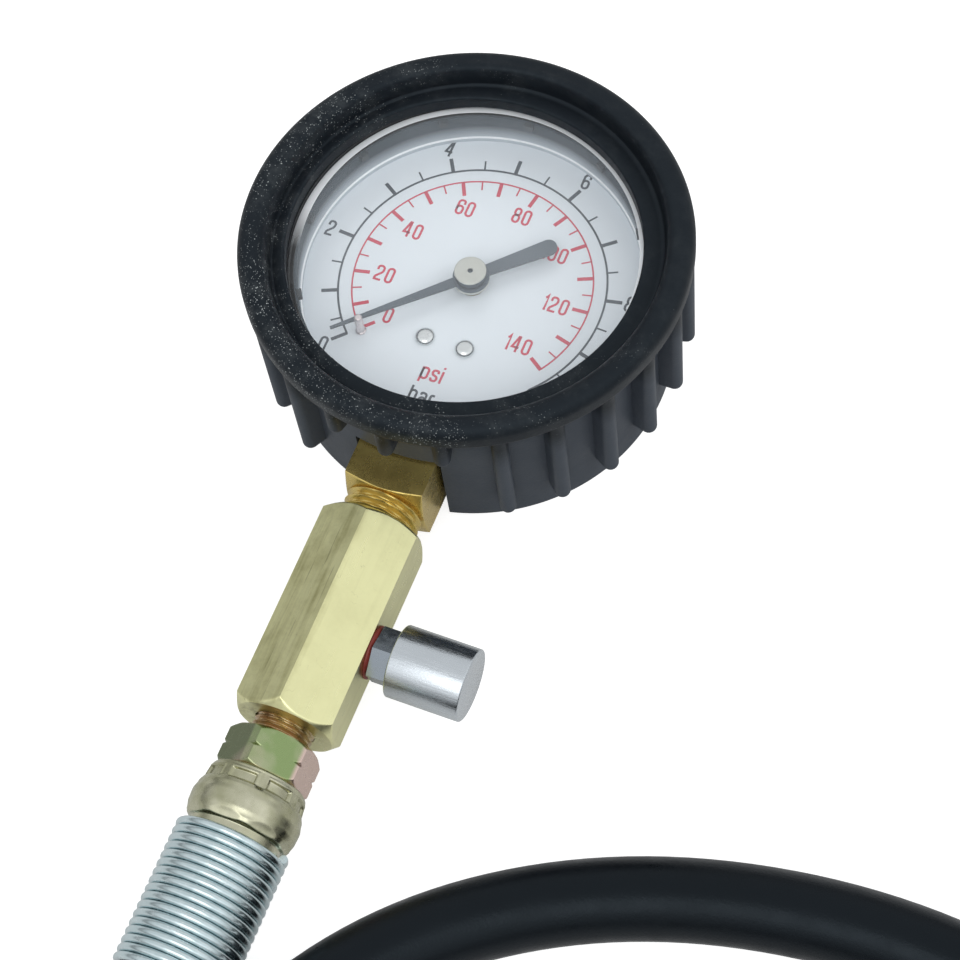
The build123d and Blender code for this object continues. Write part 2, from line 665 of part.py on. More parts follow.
# near hose end, ferrule and spring guard
thread_top_y = body_low_y + low_bore_depth - 1.0
hose_insert = hose_end(nut_top_y, nut_low_y, thread_top_y, nut_turn)
ferrule = crimped_ferrule(nut_low_y)
guard_in_r = guard_r - guard_wire
guard_points = [(guard_start_y, guard_in_r)]
for index in range(guard_turn_count):
    ring_y = guard_start_y - index * guard_wire
    guard_points.append((ring_y, guard_r - guard_wire * 0.45))
    guard_points.append((ring_y - guard_wire * 0.28, guard_r))
    guard_points.append((ring_y - guard_wire * 0.72, guard_r))
guard_end_y = guard_start_y - guard_turn_count * guard_wire
guard_points.append((guard_end_y, guard_r - guard_wire * 0.45))
guard_points.append((guard_end_y, guard_in_r))
spring_guard = turned(guard_points, z=stem_z)

# hose
points = [Vector(*p) for p in route]
radii = []
for index in range(1, len(points) - 1):
    before = points[index] - points[index - 1]
    after = points[index + 1] - points[index]
    half_turn = math.radians(before.get_angle(after)) / 2
    radii.append(0.45 * min(before.length, after.length) / math.tan(half_turn))
centre_line = FilletPolyline(*points, radius=radii)
hose = sweep(Plane(origin=points[0], z_dir=points[1] - points[0]) * Circle(hose_r), centre_line)

# far end: the same sleeve and a male fitting, level, beyond the last point
last = points[-1]
run = last - points[-2]
run_deg = math.degrees(math.atan2(run.Y, run.X))
near_face_y = nut_low_y - collar_len
far_place = Pos(last.X, last.Y, 0) * Rot(0, 0, run_deg - 90) * Pos(0, -near_face_y, 0)
far_shift = Pos(0, 0, far_tip_z - stem_z)
far_thread_y = nut_top_y + far_neck_len + far_thread_len
far_fitting = far_place * far_shift * hose_end(nut_top_y, nut_low_y, far_thread_y, 0)
far_ferrule = far_place * far_shift * crimped_ferrule(nut_low_y)

parts = {
    "rubber_boot": rubber_boot,
    "gauge_case": gauge_case,
    "window": window,
    "spacer_ring": spacer_ring,
    "dial_plate": dial_plate,
    "dial_screw_left": dial_screws[0],
    "dial_screw_right": dial_screws[1],
    "stop_pin": stop_pin,
    "pointer": pointer,
    "pointer_hub": pointer_hub,
    "pinion_arbor": pinion_arbor,
    "sector_gear": sector_gear,
    "link": link,
    "hairspring": hairspring,
    "movement_back_plate": back_plate,
    "movement_front_plate": front_plate,
    "movement_pillars": Compound(movement_pillars),
    "movement_screws": Compound(movement_screws),
    "dial_posts": Compound(dial_posts),
    "bourdon_tube": bourdon_tube,
    "tube_tip": tube_tip,
    "stem_socket": stem_socket,
    "valve_body": valve_body,
    "relief_seal": relief_seal,
    "relief_valve_body": relief_valve_body,
    "relief_button": relief_button,
    "relief_plunger": relief_plunger,
    "relief_oring": relief_oring,
    "relief_spring": Compound(spring_rings),
    "hose_insert": hose_insert,
    "ferrule": ferrule,
    "spring_guard": spring_guard,
    "hose": hose,
    "far_ferrule": far_ferrule,
    "far_fitting": far_fitting,
}

os.makedirs("parts", exist_ok=True)
for name, shape in parts.items():
    export_step(shape, "parts/" + name + ".step")

print("hose radii", [round(r, 1) for r in radii])
print("hose length", round(centre_line.length, 1))
print("hose volume", round(hose.volume), "section x length",
      round(math.pi * hose_r ** 2 * centre_line.length))
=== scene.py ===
import math

import bmesh
import bpy
from bpy.props import FloatProperty, FloatVectorProperty, IntProperty, PointerProperty
from mathutils import Matrix, Vector


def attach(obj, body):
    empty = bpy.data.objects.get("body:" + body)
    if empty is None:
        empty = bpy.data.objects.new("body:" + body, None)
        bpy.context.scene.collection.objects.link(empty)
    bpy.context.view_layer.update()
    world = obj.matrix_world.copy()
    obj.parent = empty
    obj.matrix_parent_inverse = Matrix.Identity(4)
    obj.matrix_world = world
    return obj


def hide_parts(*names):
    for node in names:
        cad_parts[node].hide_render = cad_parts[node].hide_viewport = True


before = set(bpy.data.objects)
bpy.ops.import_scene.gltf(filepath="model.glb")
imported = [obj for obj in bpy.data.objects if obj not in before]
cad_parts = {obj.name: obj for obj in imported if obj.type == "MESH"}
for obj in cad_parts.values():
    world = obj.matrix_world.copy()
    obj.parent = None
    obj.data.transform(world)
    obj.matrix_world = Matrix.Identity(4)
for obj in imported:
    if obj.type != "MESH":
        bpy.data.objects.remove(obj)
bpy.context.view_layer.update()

bl_info = {
    "name": "Engine oil pressure tester",
    "version": (1, 0, 0),
    "blender": (4, 5, 0),
    "location": "View3D > Sidebar > Pressure tester",
    "description": "Dresses the pressure gauge, its brass body, bleed valve and hose",
    "category": "Object",
}

MM = 0.001

# Heights and radii of the gauge, millimetres
DIAL_Z = 20.0
WINDOW_R = 30.8
WINDOW_LOW = 27.3
WINDOW_TOP = 29.4
WALL_R = 34.6
RIB_R = 38.35
ROLL_R = 38.5
LIP_EDGE_R = 33.2

# The stem's axis and its stations along Y, millimetres
STEM_Z = 11.6
BLOCK_IN = -17.0
BLOCK_END = -41.1
STEM_THREAD_END = -54.1
BODY_TOP = -45.4
BODY_LOW = -83.5
VALVE_Y = -66.36
NUT_TOP = -86.5
NUT_LOW = -93.5
HOSE_START = -100.0
GUARD_START = -103.4

# Half widths across flats, threads with their pitches, and bores, millimetres
SQUARE_HALF = 7.0
BODY_HALF = 8.5
NUT_HALF = 7.0
STEM_THREAD_R = 6.85
STEM_PITCH = 1.41
HOSE_THREAD_R = 5.145
HOSE_PITCH = 0.94
SHANK_R = 6.7
BORE_R = 2.5

# Places of the dial screws and the stop pin, millimetres
SCREW_X = 3.66
SCREW_Y = -12.5
SCREW_R = 1.74
PIN_X = -14.6
PIN_Y = -14.95

# Centre line of the hose, millimetres
ROUTE = (
    (0, -100, 11.6), (0, -133, 11.6), (-14, -171.5, 7.2), (-14, -211, 6.7),
    (7, -249, 6.7), (48, -275, 6.7), (101, -280, 6.7), (148, -260, 6.7),
    (178, -219, 6.7), (187, -170, 6.7), (177, -123, 6.7), (150.4, -89.8, 6.7),
    (107.7, -79.2, 6.7), (61, -87.4, 6.7), (25.2, -111.5, 6.7),
    (8, -148.5, 6.7), (8.6, -187.5, 6.7), (27, -225, 6.7), (62, -246, 6.7),
    (103, -247, 6.7), (137, -227, 7.5), (158, -193, 14), (168.5, -152, 22.3),
    (179, -113, 22.3), (187.5, -78, 9.5), (188.5, -44, 9.5),
)


# Camera: focal length in millimetres, place in metres and turn in radians
LENS = 97.48
CAMERA_AT = (0.115219, -0.203653, 0.403668)
CAMERA_TURN = (0.466994, 0.076959, 0.382331)

# Floor and light: sizes and places in metres, and the level of the room behind
FLOOR_R = 9
FLOOR_Z = -0.0002
LAMP_AIM = (0.01, -0.03, 0.01)
WORLD_LOW = 0.3


def srgb(red, green, blue):
    """Linear colour of a screen colour that is given as 0 to 255."""
    return tuple(
        (c / 255 / 12.92) if c / 255 <= 0.04045 else ((c / 255 + 0.055) / 1.055) ** 2.4
        for c in (red, green, blue))


def colour_choice(name, description, *screen):
    """Colour that the panel offers, its default given as 0 to 255."""
    return FloatVectorProperty(name=name, description=description, subtype="COLOR",
                               default=srgb(*screen), size=3)


def length_choice(name, description, size):
    """Length that the panel offers, its default given in millimetres."""
    return FloatProperty(name=name, description=description, default=size * MM, unit="LENGTH")


# Sizes and colours that the panel offers
class BootSettings(bpy.types.PropertyGroup):
    rib_count: IntProperty(
        name="Ribs", description="Grip ribs round the boot", default=24, min=6, max=60)
    rib_radius: length_choice("Rib radius", "Radius of one half-round rib", 1.45)
    rubber: colour_choice("Rubber", "Colour of the boot", 17, 21, 26)
    dust: colour_choice("Dust", "Colour of the dust specks", 190, 196, 196)


class DialSettings(bpy.types.PropertyGroup):
    dial: colour_choice("Dial", "Colour of the dial's paint", 226, 233, 238)
    bar_ink: colour_choice("Outer scale", "Ink of the outer scale", 52, 61, 70)
    psi_ink: colour_choice("Inner scale", "Ink of the inner scale", 200, 50, 76)
    needle: colour_choice("Pointer", "Paint of the pointer", 84, 94, 102)
    ink_height: length_choice("Ink", "Thickness of the printed ink", 0.04)


class MetalSettings(bpy.types.PropertyGroup):
    body_brass: colour_choice("Hexagon body", "Brass of the hexagon body", 236, 234, 181)
    socket_brass: colour_choice("Stem", "Brass of the square stem", 220, 196, 118)
    chrome: colour_choice("Push cap", "Plating of the push cap", 206, 212, 217)
    zinc: colour_choice("Ferrule", "Plating of the ferrules", 208, 206, 182)


class HoseSettings(bpy.types.PropertyGroup):
    radius: length_choice("Hose radius", "Outer radius of the hose", 6.7)
    rubber: colour_choice("Cover", "Colour of the hose cover", 7, 10, 14)
    guard_turns: IntProperty(
        name="Guard turns", description="Turns of the spring guard", default=17, min=3)
    guard_wire: length_choice("Guard wire", "Thickness of the guard's wire", 1.465)
    guard_radius: length_choice("Guard radius", "Outer radius of the spring guard", 9.6)


class StageSettings(bpy.types.PropertyGroup):
    floor: FloatVectorProperty(
        name="Floor", description="Colour of the floor", subtype="COLOR",
        default=(0.5, 0.5, 0.5), size=3)
    lamps: FloatProperty(
        name="Lamps", description="Strength of the softboxes", default=1.0, min=0)


# Meshes
def piece(name, mesh, material=None):
    """Object at the origin that shows a mesh, in the scene."""
    mesh.name = name
    made = bpy.data.objects.new(name, mesh)
    bpy.context.scene.collection.objects.link(made)
    if material:
        mesh.materials.clear()
        mesh.materials.append(material)
    return made


def shaded(mesh, sharp=32):
    """Smooth shading with sharp edges over an angle in degrees."""
    mesh.shade_smooth()
    mesh.set_sharp_from_angle(angle=math.radians(sharp))
    return mesh


def skin(rings, loop=False, sharp=32):
    """Closed mesh through rings of points in millimetres, capped unless it loops."""
    work = bmesh.new()
    rows = [[work.verts.new(Vector(point) * MM) for point in ring] for ring in rings]
    count = len(rows[0])
    pairs = list(zip(rows, rows[1:]))
    if loop:
        pairs.append((rows[-1], rows[0]))
    for low, high in pairs:
        for index in range(count):
            after = (index + 1) % count
            work.faces.new((low[index], low[after], high[after], high[index]))
    if not loop:
        work.faces.new(rows[0])
        work.faces.new(rows[-1])
    bmesh.ops.recalc_face_normals(work, faces=work.faces)
    mesh = bpy.data.meshes.new("skin")
    work.to_mesh(mesh)
    work.free()
    return shaded(mesh, sharp)


def joined(meshes):
    """One mesh out of several, which keep their own shading."""
    objects = [piece("part", mesh) for mesh in meshes]
    with bpy.context.temp_override(
            active_object=objects[0], object=objects[0],
            selected_editable_objects=objects, selected_objects=objects):
        bpy.ops.object.join()
    mesh = objects[0].data
    bpy.data.objects.remove(objects[0])
    return mesh


def evaluated(thing):
    """Plain mesh of an object with its modifiers applied; the object is removed."""
    graph = bpy.context.evaluated_depsgraph_get()
    mesh = bpy.data.meshes.new_from_object(thing.evaluated_get(graph), depsgraph=graph)
    bpy.data.objects.remove(thing)
    return mesh


def cut(mesh, *tools, sharp=32):
    """Mesh with the space of other meshes taken out of it."""
    work = piece("work", mesh)
    cutters = []
    for tool in tools:
        cutter = piece("cutter", tool)
        cutters.append(cutter)
        change = work.modifiers.new("cut", "BOOLEAN")
        change.operation = "DIFFERENCE"
        change.solver = "EXACT"
        change.object = cutter
    result = evaluated(work)
    for cutter in cutters:
        bpy.data.objects.remove(cutter)
    return shaded(result, sharp)


def rounded(points, closed=True, steps=5):
    """Outline with an arc in each corner that is given as (across, along, radius)."""
    outline = []
    count = len(points)
    for index, point in enumerate(points):
        radius = point[2] if len(point) > 2 else 0
        if radius == 0 or (not closed and index in (0, count - 1)):
            outline.append(tuple(point[:2]))
            continue
        here = Vector(point[:2])
        back = Vector(points[index - 1][:2]) - here
        ahead = Vector(points[(index + 1) % count][:2]) - here
        half = back.angle(ahead) / 2
        run = min(radius / math.tan(half), 0.49 * back.length, 0.49 * ahead.length)
        radius = run * math.tan(half)
        middle = (back.normalized() + ahead.normalized()).normalized()
        centre = here + middle * (radius / math.sin(half))
        start = here + back.normalized() * run - centre
        finish = here + ahead.normalized() * run - centre
        sweep = math.atan2(start.x * finish.y - start.y * finish.x, start.dot(finish))
        for step in range(steps + 1):
            turn = sweep * step / steps
            outline.append((
                centre.x + start.x * math.cos(turn) - start.y * math.sin(turn),
                centre.y + start.x * math.sin(turn) + start.y * math.cos(turn)))
    return outline


def upright(x, y):
    """Gives points round an upright axis at x and y."""
    def place(angle, radius, along):
        return (x + radius * math.cos(angle), y + radius * math.sin(angle), along)
    return place


on_dial = upright(0, 0)


def on_stem(angle, radius, along):
    """Point round the stem's axis; angle 0 faces up and grows towards +X."""
    return (radius * math.sin(angle), along, STEM_Z + radius * math.cos(angle))


def on_valve(angle, radius, along):
    """Point round the bleed valve's axis; angle 0 faces up and grows towards +Y."""
    return (along, VALVE_Y + radius * math.sin(angle), STEM_Z + radius * math.cos(angle))


def even(count):
    """Angles that divide a full turn."""
    return [2 * math.pi * index / count for index in range(count)]


def arc(start, end, step):
    """Cosine and sine of angles that are given in whole degrees, end included."""
    turns = [math.radians(angle) for angle in range(start, end + 1, step)]
    return [(math.cos(turn), math.sin(turn)) for turn in turns]


def cornered(sides, normal, fine=(0, 0.5, 1.1, 1.9, 3, 5, 8, 12, 17, 23)):
    """Angles round a bar that crowd at its corners; one flat faces the angle normal."""
    half = 180 / sides
    offsets = [half - step for step in fine if step < half]
    local = sorted({round(side * value, 4) for value in offsets for side in (-1, 1)})
    turns = [math.radians(normal + 2 * half * side + value)
             for side in range(sides) for value in local]
    return sorted({round(turn % (2 * math.pi), 7) for turn in turns})


def flats(half_width, sides, normal, angle):
    """Radius of a regular bar at an angle, with one flat's middle at normal degrees."""
    step = 2 * math.pi / sides
    local = (angle - math.radians(normal) + step / 2) % step - step / 2
    return half_width / math.cos(local)


def soft_min(first, second, width):
    """The lower of two values with a rounded change-over."""
    near = max(width - abs(first - second), 0) / width
    return min(first, second) - near * near * width / 4


def spread(start, end, count):
    return [start + (end - start) * index / (count - 1) for index in range(count)]


def slab(outline, low, high):
    """Upright solid over an outline of (x, y), between two heights."""
    return skin([[(x, y, z) for x, y in outline] for z in (low, high)])


def turned(on, outline, steps=160, sharp=32):
    """Ring or disc turned from a closed outline of (radius, along)."""
    hollow = min(radius for radius, along in outline) > 0
    rings = [[on(a, radius, along) for a in even(steps)]
             for radius, along in outline if radius > 0]
    return skin(rings, loop=hollow, sharp=sharp)


def sleeve(on, angles, rows, radius, bore, sharp=32):
    """Bored piece: outer radius(angle, along) over the rows, then the bore's outline back."""
    rings = [[on(a, radius(a, along), along) for a in angles] for along in rows]
    rings += [[on(a, inner, along) for a in angles] for inner, along in bore]
    return skin(rings, loop=True, sharp=sharp)


def held(value):
    """Value kept between 0 and 1."""
    return min(1.0, max(0.0, value))


def thread_depth(angle, along, pitch, depth):
    """How far a screw thread's flank lies under its crest."""
    phase = (along / pitch + angle / (2 * math.pi)) % 1.0
    return depth * held(abs(2 * phase - 1) * 1.3 - 0.12)


# Node trees for what repeats
def feed(tree, socket, value):
    """Links an input to a socket, or sets its value."""
    if isinstance(value, bpy.types.NodeSocket):
        tree.links.new(value, socket)
    else:
        socket.default_value = value


def node(tree, kind, *values, **named):
    """New node whose inputs are fed in order and by name."""
    made = tree.nodes.new(kind)
    for socket, value in zip(made.inputs, values):
        feed(tree, socket, value)
    for name, value in named.items():
        feed(tree, made.inputs[name.replace("_", " ")], value)
    return made


def maths(tree, operation, *values):
    made = tree.nodes.new("ShaderNodeMath")
    made.operation = operation
    for socket, value in zip(made.inputs, values):
        feed(tree, socket, value)
    return made.outputs[0]


def new_tree(name, **inputs):
    """Geometry tree with named inputs, and the sockets that give them."""
    tree = bpy.data.node_groups.new(name, "GeometryNodeTree")
    for label, kind in inputs.items():
        tree.interface.new_socket(
            name=label.replace("_", " "), in_out="INPUT", socket_type="NodeSocket" + kind)
    return tree, tree.nodes.new("NodeGroupInput").outputs


def end_tree(tree, given, instances):
    """Closes a tree with Realize Instances and Set Material."""
    real = node(tree, "GeometryNodeRealizeInstances", Geometry=instances)
    clad = node(tree, "GeometryNodeSetMaterial", Geometry=real.outputs[0],
                Material=given["Material"])
    tree.interface.new_socket(name="Geometry", in_out="OUTPUT", socket_type="NodeSocketGeometry")
    node(tree, "NodeGroupOutput", clad.outputs[0])
    return tree


def turn_of_each(tree, given):
    """Turn of each point, from Start and Step."""
    index = tree.nodes.new("GeometryNodeInputIndex").outputs[0]
    return maths(tree, "ADD", given["Start"], maths(tree, "MULTIPLY", index, given["Step"]))


def end_ring(tree, given, points, copy, turn):
    """Sets a copy on each point, turned about Z, and closes the tree."""
    spin = node(tree, "ShaderNodeCombineXYZ", Z=turn)
    spots = node(tree, "GeometryNodeInstanceOnPoints", Points=points.outputs[0],
                 Instance=copy, Rotation=spin.outputs[0])
    return end_tree(tree, given, spots.outputs[0])


def ring_of_bars():
    """Tree that sets bars round the dial, their length along the radius."""
    tree, given = new_tree(
        "ring_of_bars", Count="Int", Start="Float", Step="Float", Radius="Float",
        Length="Float", Width="Float", Height="Float", Level="Float", Material="Material")
    turn = turn_of_each(tree, given)
    place = node(tree, "ShaderNodeCombineXYZ",
                 maths(tree, "MULTIPLY", given["Radius"], maths(tree, "SINE", turn)),
                 maths(tree, "MULTIPLY", given["Radius"], maths(tree, "COSINE", turn)),
                 given["Level"])
    points = node(tree, "GeometryNodePoints", Count=given["Count"], Position=place.outputs[0])
    size = node(tree, "ShaderNodeCombineXYZ", given["Width"], given["Length"], given["Height"])
    bar = node(tree, "GeometryNodeMeshCube", Size=size.outputs[0])
    return end_ring(tree, given, points, bar.outputs["Mesh"],
                    maths(tree, "MULTIPLY", turn, -1.0))


def ring_of_copies():
    """Tree that turns copies of one piece about the Z axis."""
    tree, given = new_tree("ring_of_copies", Count="Int", Start="Float", Step="Float",
                           Piece="Object", Material="Material")
    points = node(tree, "GeometryNodePoints", Count=given["Count"])
    shown = node(tree, "GeometryNodeObjectInfo", given["Piece"])
    return end_ring(tree, given, points, shown.outputs["Geometry"], turn_of_each(tree, given))


def wound_wire():
    """Tree that winds a round wire into a close coil along Z; Steps are those of one turn."""
    tree, given = new_tree("wound_wire", Turns="Float", Steps="Int", Coil_radius="Float",
                           Wire_radius="Float", Length="Float", Material="Material")
    coil = node(tree, "GeometryNodeCurveSpiral", Resolution=given["Steps"],
                Rotations=given["Turns"], Start_Radius=given["Coil radius"],
                End_Radius=given["Coil radius"], Height=given["Length"])
    section = node(tree, "GeometryNodeCurvePrimitiveCircle", Resolution=14,
                   Radius=given["Wire radius"])
    wire = node(tree, "GeometryNodeCurveToMesh", Curve=coil.outputs["Curve"],
                Profile_Curve=section.outputs["Curve"], Fill_Caps=True)
    return end_tree(tree, given, wire.outputs["Mesh"])


def grown(tree, **values):
    """Plain mesh that a geometry tree makes from its named inputs."""
    holder = piece("holder", bpy.data.meshes.new("holder"))
    change = holder.modifiers.new("grow", "NODES")
    change.node_group = tree
    names = {item.name: item.identifier for item in tree.interface.items_tree
             if item.in_out == "INPUT"}
    for name, value in values.items():
        change[names[name.replace("_", " ")]] = value
    return evaluated(holder)


# Finishes
def lighter(colour, share):
    return tuple(min(1.0, value * share) for value in colour)


class Finish:
    """A procedural material whose patterns lie on the piece's own coordinates."""

    def __init__(self, name, colour, metallic=0.0, roughness=0.5, **sockets):
        self.material = bpy.data.materials.new(name)
        self.material.use_nodes = True
        self.tree = self.material.node_tree
        self.shader = self.tree.nodes["Principled BSDF"]
        self.set("Base Color", (*colour, 1.0))
        self.set("Metallic", metallic)
        self.set("Roughness", roughness)
        for socket, value in sockets.items():
            self.set(socket.replace("_", " "), value)
        self.place = self.tree.nodes.new("ShaderNodeTexCoord").outputs["Object"]

    def set(self, socket, value):
        feed(self.tree, self.shader.inputs[socket], value)

    def noise(self, scale, detail=3.0, rough=0.55, place=None):
        return node(self.tree, "ShaderNodeTexNoise", Vector=place or self.place, Scale=scale,
                    Detail=detail, Roughness=rough).outputs["Fac"]

    def streaks(self, scale, detail, rough=0.6):
        """Noise with a scale of its own along each axis."""
        place = node(self.tree, "ShaderNodeMapping", Vector=self.place, Scale=scale)
        return self.noise(1.0, detail, rough, place.outputs[0])

    def cells(self, scale):
        """Distance from the middle of each cell and a number of its own for each cell."""
        cell = node(self.tree, "ShaderNodeTexVoronoi", Vector=self.place, Scale=scale)
        parts = node(self.tree, "ShaderNodeSeparateColor", cell.outputs["Color"])
        return cell.outputs["Distance"], parts.outputs[0]

    def axis(self, number):
        """One coordinate of the piece, in metres."""
        return node(self.tree, "ShaderNodeSeparateXYZ", self.place).outputs[number]

    def levels(self, value, low, high, to_low=0.0, to_high=1.0):
        """Value that goes from to_low to to_high while another goes from low to high."""
        return node(self.tree, "ShaderNodeMapRange", Value=value, From_Min=low, From_Max=high,
                    To_Min=to_low, To_Max=to_high).outputs[0]

    def sum(self, first, second):
        return maths(self.tree, "ADD", first, second)

    def times(self, first, second):
        return maths(self.tree, "MULTIPLY", first, second)

    def blend(self, factor, first, second):
        """Colour between two colours."""
        made = self.tree.nodes.new("ShaderNodeMix")
        made.data_type = "RGBA"
        self.tree.links.new(factor, made.inputs[0])
        for socket, value in ((made.inputs[6], first), (made.inputs[7], second)):
            linked = isinstance(value, bpy.types.NodeSocket)
            feed(self.tree, socket, value if linked else (*value, 1.0))
        return made.outputs[2]

    def shades(self, factor, colour, dark, light):
        """Colour between two shades of one colour."""
        return self.blend(factor, lighter(colour, dark), lighter(colour, light))

    def paint(self, colour):
        self.set("Base Color", colour)

    def gloss(self, value, low, high):
        """Roughness between two values, as a noise goes."""
        self.set("Roughness", self.levels(value, 0.3, 0.7, low, high))

    def bump(self, height, distance, strength):
        self.set("Normal", node(self.tree, "ShaderNodeBump", Height=height, Distance=distance,
                                Strength=strength).outputs[0])


FINISHES = {}


def finish(maker, name, *given):
    """One material for all pieces of a finish."""
    if name not in FINISHES:
        FINISHES[name] = maker(name, *given).material
    return FINISHES[name]


# Cool tint of the light that rubber throws back
RUBBER_TINT = (0.72, 0.88, 1.0, 1.0)


def boot_rubber(name, settings):
    """Dark rubber with painted bounce light that makes it paler low on the wall, and dust specks
    that thicken at the front left.
    """
    look = Finish(name, settings.rubber, roughness=0.5, Specular_IOR_Level=0.25,
                  Specular_Tint=RUBBER_TINT)
    wide = look.noise(70, 4)
    height = look.axis(2)
    # Painted light: bounced light painted as a paler blue grey low on the wall
    low = look.levels(height, 0.030, 0.024)
    base = look.shades(wide, settings.rubber, 0.8, 1.25)
    base = look.blend(look.times(low, 0.75), base, srgb(71, 77, 86))
    upper = look.levels(height, 0.022, 0.0335, 0.15, 1.0)
    side = look.sum(look.times(look.axis(0), -18.0), look.times(look.axis(1), -14.0))
    side = look.levels(side, -0.7, 0.75, 0.2, 1.0)
    drift = look.times(look.levels(look.noise(95, 5, 0.75), 0.36, 0.66), upper)
    drift = look.times(drift, side)
    specks = 0.0
    for scale, size, share in ((1900, 0.27, 0.6), (3200, 0.32, 0.5), (900, 0.12, 0.3)):
        distance, number = look.cells(scale)
        dots = look.times(look.levels(distance, size, size * 0.6),
                          look.levels(number, 1 - share, 1 - share + 0.25))
        specks = look.sum(specks, dots)
    dust = look.times(specks, drift)
    haze = look.times(look.levels(look.noise(260, 5, 0.7), 0.45, 0.8), look.times(drift, 0.12))
    base = look.blend(haze, base, settings.dust)
    look.paint(look.blend(look.levels(dust, 0.2, 1.0), base, settings.dust))
    look.set("Roughness", look.levels(look.sum(wide, dust), 0.3, 1.3, 0.42, 0.75))
    grain = look.sum(look.noise(2600, 2), look.times(look.noise(300, 3), 1.4))
    look.bump(grain, 0.00006, 0.5)
    return look


def hose_rubber(name, settings):
    look = Finish(name, settings.rubber, roughness=0.32, Specular_IOR_Level=0.22,
                  Specular_Tint=RUBBER_TINT)
    look.paint(look.shades(look.noise(45, 4), settings.rubber, 0.7, 1.4))
    look.set("Roughness", look.levels(look.noise(240, 4, 0.65), 0.3, 0.75, 0.26, 0.42))
    look.bump(look.sum(look.noise(1900, 2), look.noise(160, 2)), 0.00008, 0.4)
    return look


def clear_window(name):
    look = Finish(name, srgb(245, 250, 255), roughness=0.05, IOR=1.49)
    look.set("Alpha", look.levels(look.noise(40, 2), 0.3, 0.7, 0.05, 0.09))
    look.gloss(look.noise(60, 2), 0.03, 0.06)
    return look


def window_bevel_painted_highlight(name):
    """Window's bevel with a painted highlight: it glows faintly and fades out towards the front.
    """
    # Painted highlight: a faint glow stands in for the light that the bevel catches
    look = Finish(name, srgb(250, 253, 255), roughness=0.15,
                  Emission_Color=(0.9, 0.95, 1.0, 1.0), Emission_Strength=0.14)
    # The painted highlight shows mostly at the back and fades out towards the front
    far = look.levels(look.axis(1), -0.008, 0.0, 0.06, 0.85)
    look.set("Alpha", look.times(far, look.levels(look.noise(60, 2), 0.3, 0.7, 0.9, 1.0)))
    look.gloss(look.noise(400, 3), 0.08, 0.3)
    return look


def ring_wall_painted_light(name):
    """Matt grey of the ring's wall, with painted shade that darkens it above, light below, and a
    painted highlight along its ledge.
    """
    look = Finish(name, srgb(150, 158, 164), roughness=0.6, Specular_IOR_Level=0.1)
    height = look.axis(2)
    clouded = look.sum(height, look.times(look.noise(90, 1), 0.0006))
    # Painted shade: the wall turns dark towards the window
    wall = look.blend(look.levels(clouded, 0.0212, 0.0248), srgb(190, 199, 206),
                      srgb(56, 67, 75))
    # Painted highlight: a thin bright line along the step of the wall
    painted_ledge_highlight = look.times(look.levels(height, 0.02088, 0.02092),
                       look.levels(height, 0.02118, 0.02114))
    look.paint(look.blend(painted_ledge_highlight, wall, srgb(244, 248, 250)))
    look.gloss(look.noise(60, 1), 0.55, 0.65)
    return look


def satin_paint(name, colour, roughness=0.35):
    look = Finish(name, colour, roughness=roughness)
    look.paint(look.shades(look.noise(50, 3), colour, 0.97, 1.02))
    look.gloss(look.noise(900, 3), roughness - 0.06, roughness + 0.08)
    look.bump(look.noise(2200, 2), 0.00001, 0.4)
    return look


def case_paint(name, colour):
    look = Finish(name, colour, roughness=0.45)
    look.gloss(look.noise(300, 3), 0.35, 0.55)
    look.bump(look.noise(900, 3), 0.00002, 0.5)
    return look


def plain_metal(name, colour, roughness):
    """Metal with fine cloudy wear."""
    look = Finish(name, colour, metallic=1.0, roughness=roughness)
    fine = look.noise(700, 4, 0.6)
    look.paint(look.shades(look.noise(160, 4), colour, 0.88, 1.06))
    look.gloss(fine, roughness * 0.7, roughness * 1.4)
    look.bump(fine, 0.00001, 0.5)
    return look


def banded(name, low_colour, high_colour, height, shine):
    """Satin paint or plate that changes colour at a height in millimetres."""
    look = Finish(name, high_colour, metallic=shine, roughness=0.4)
    above = look.levels(look.axis(2), (height - 0.03) * MM, (height + 0.03) * MM)
    cloud = look.noise(400, 3)
    look.paint(look.blend(
        above, look.shades(cloud, low_colour, 0.94, 1.05),
        look.shades(cloud, high_colour, 0.95, 1.04)))
    look.gloss(look.noise(900, 3), 0.34, 0.46)
    look.bump(look.noise(1800, 2), 0.00001, 0.4)
    return look


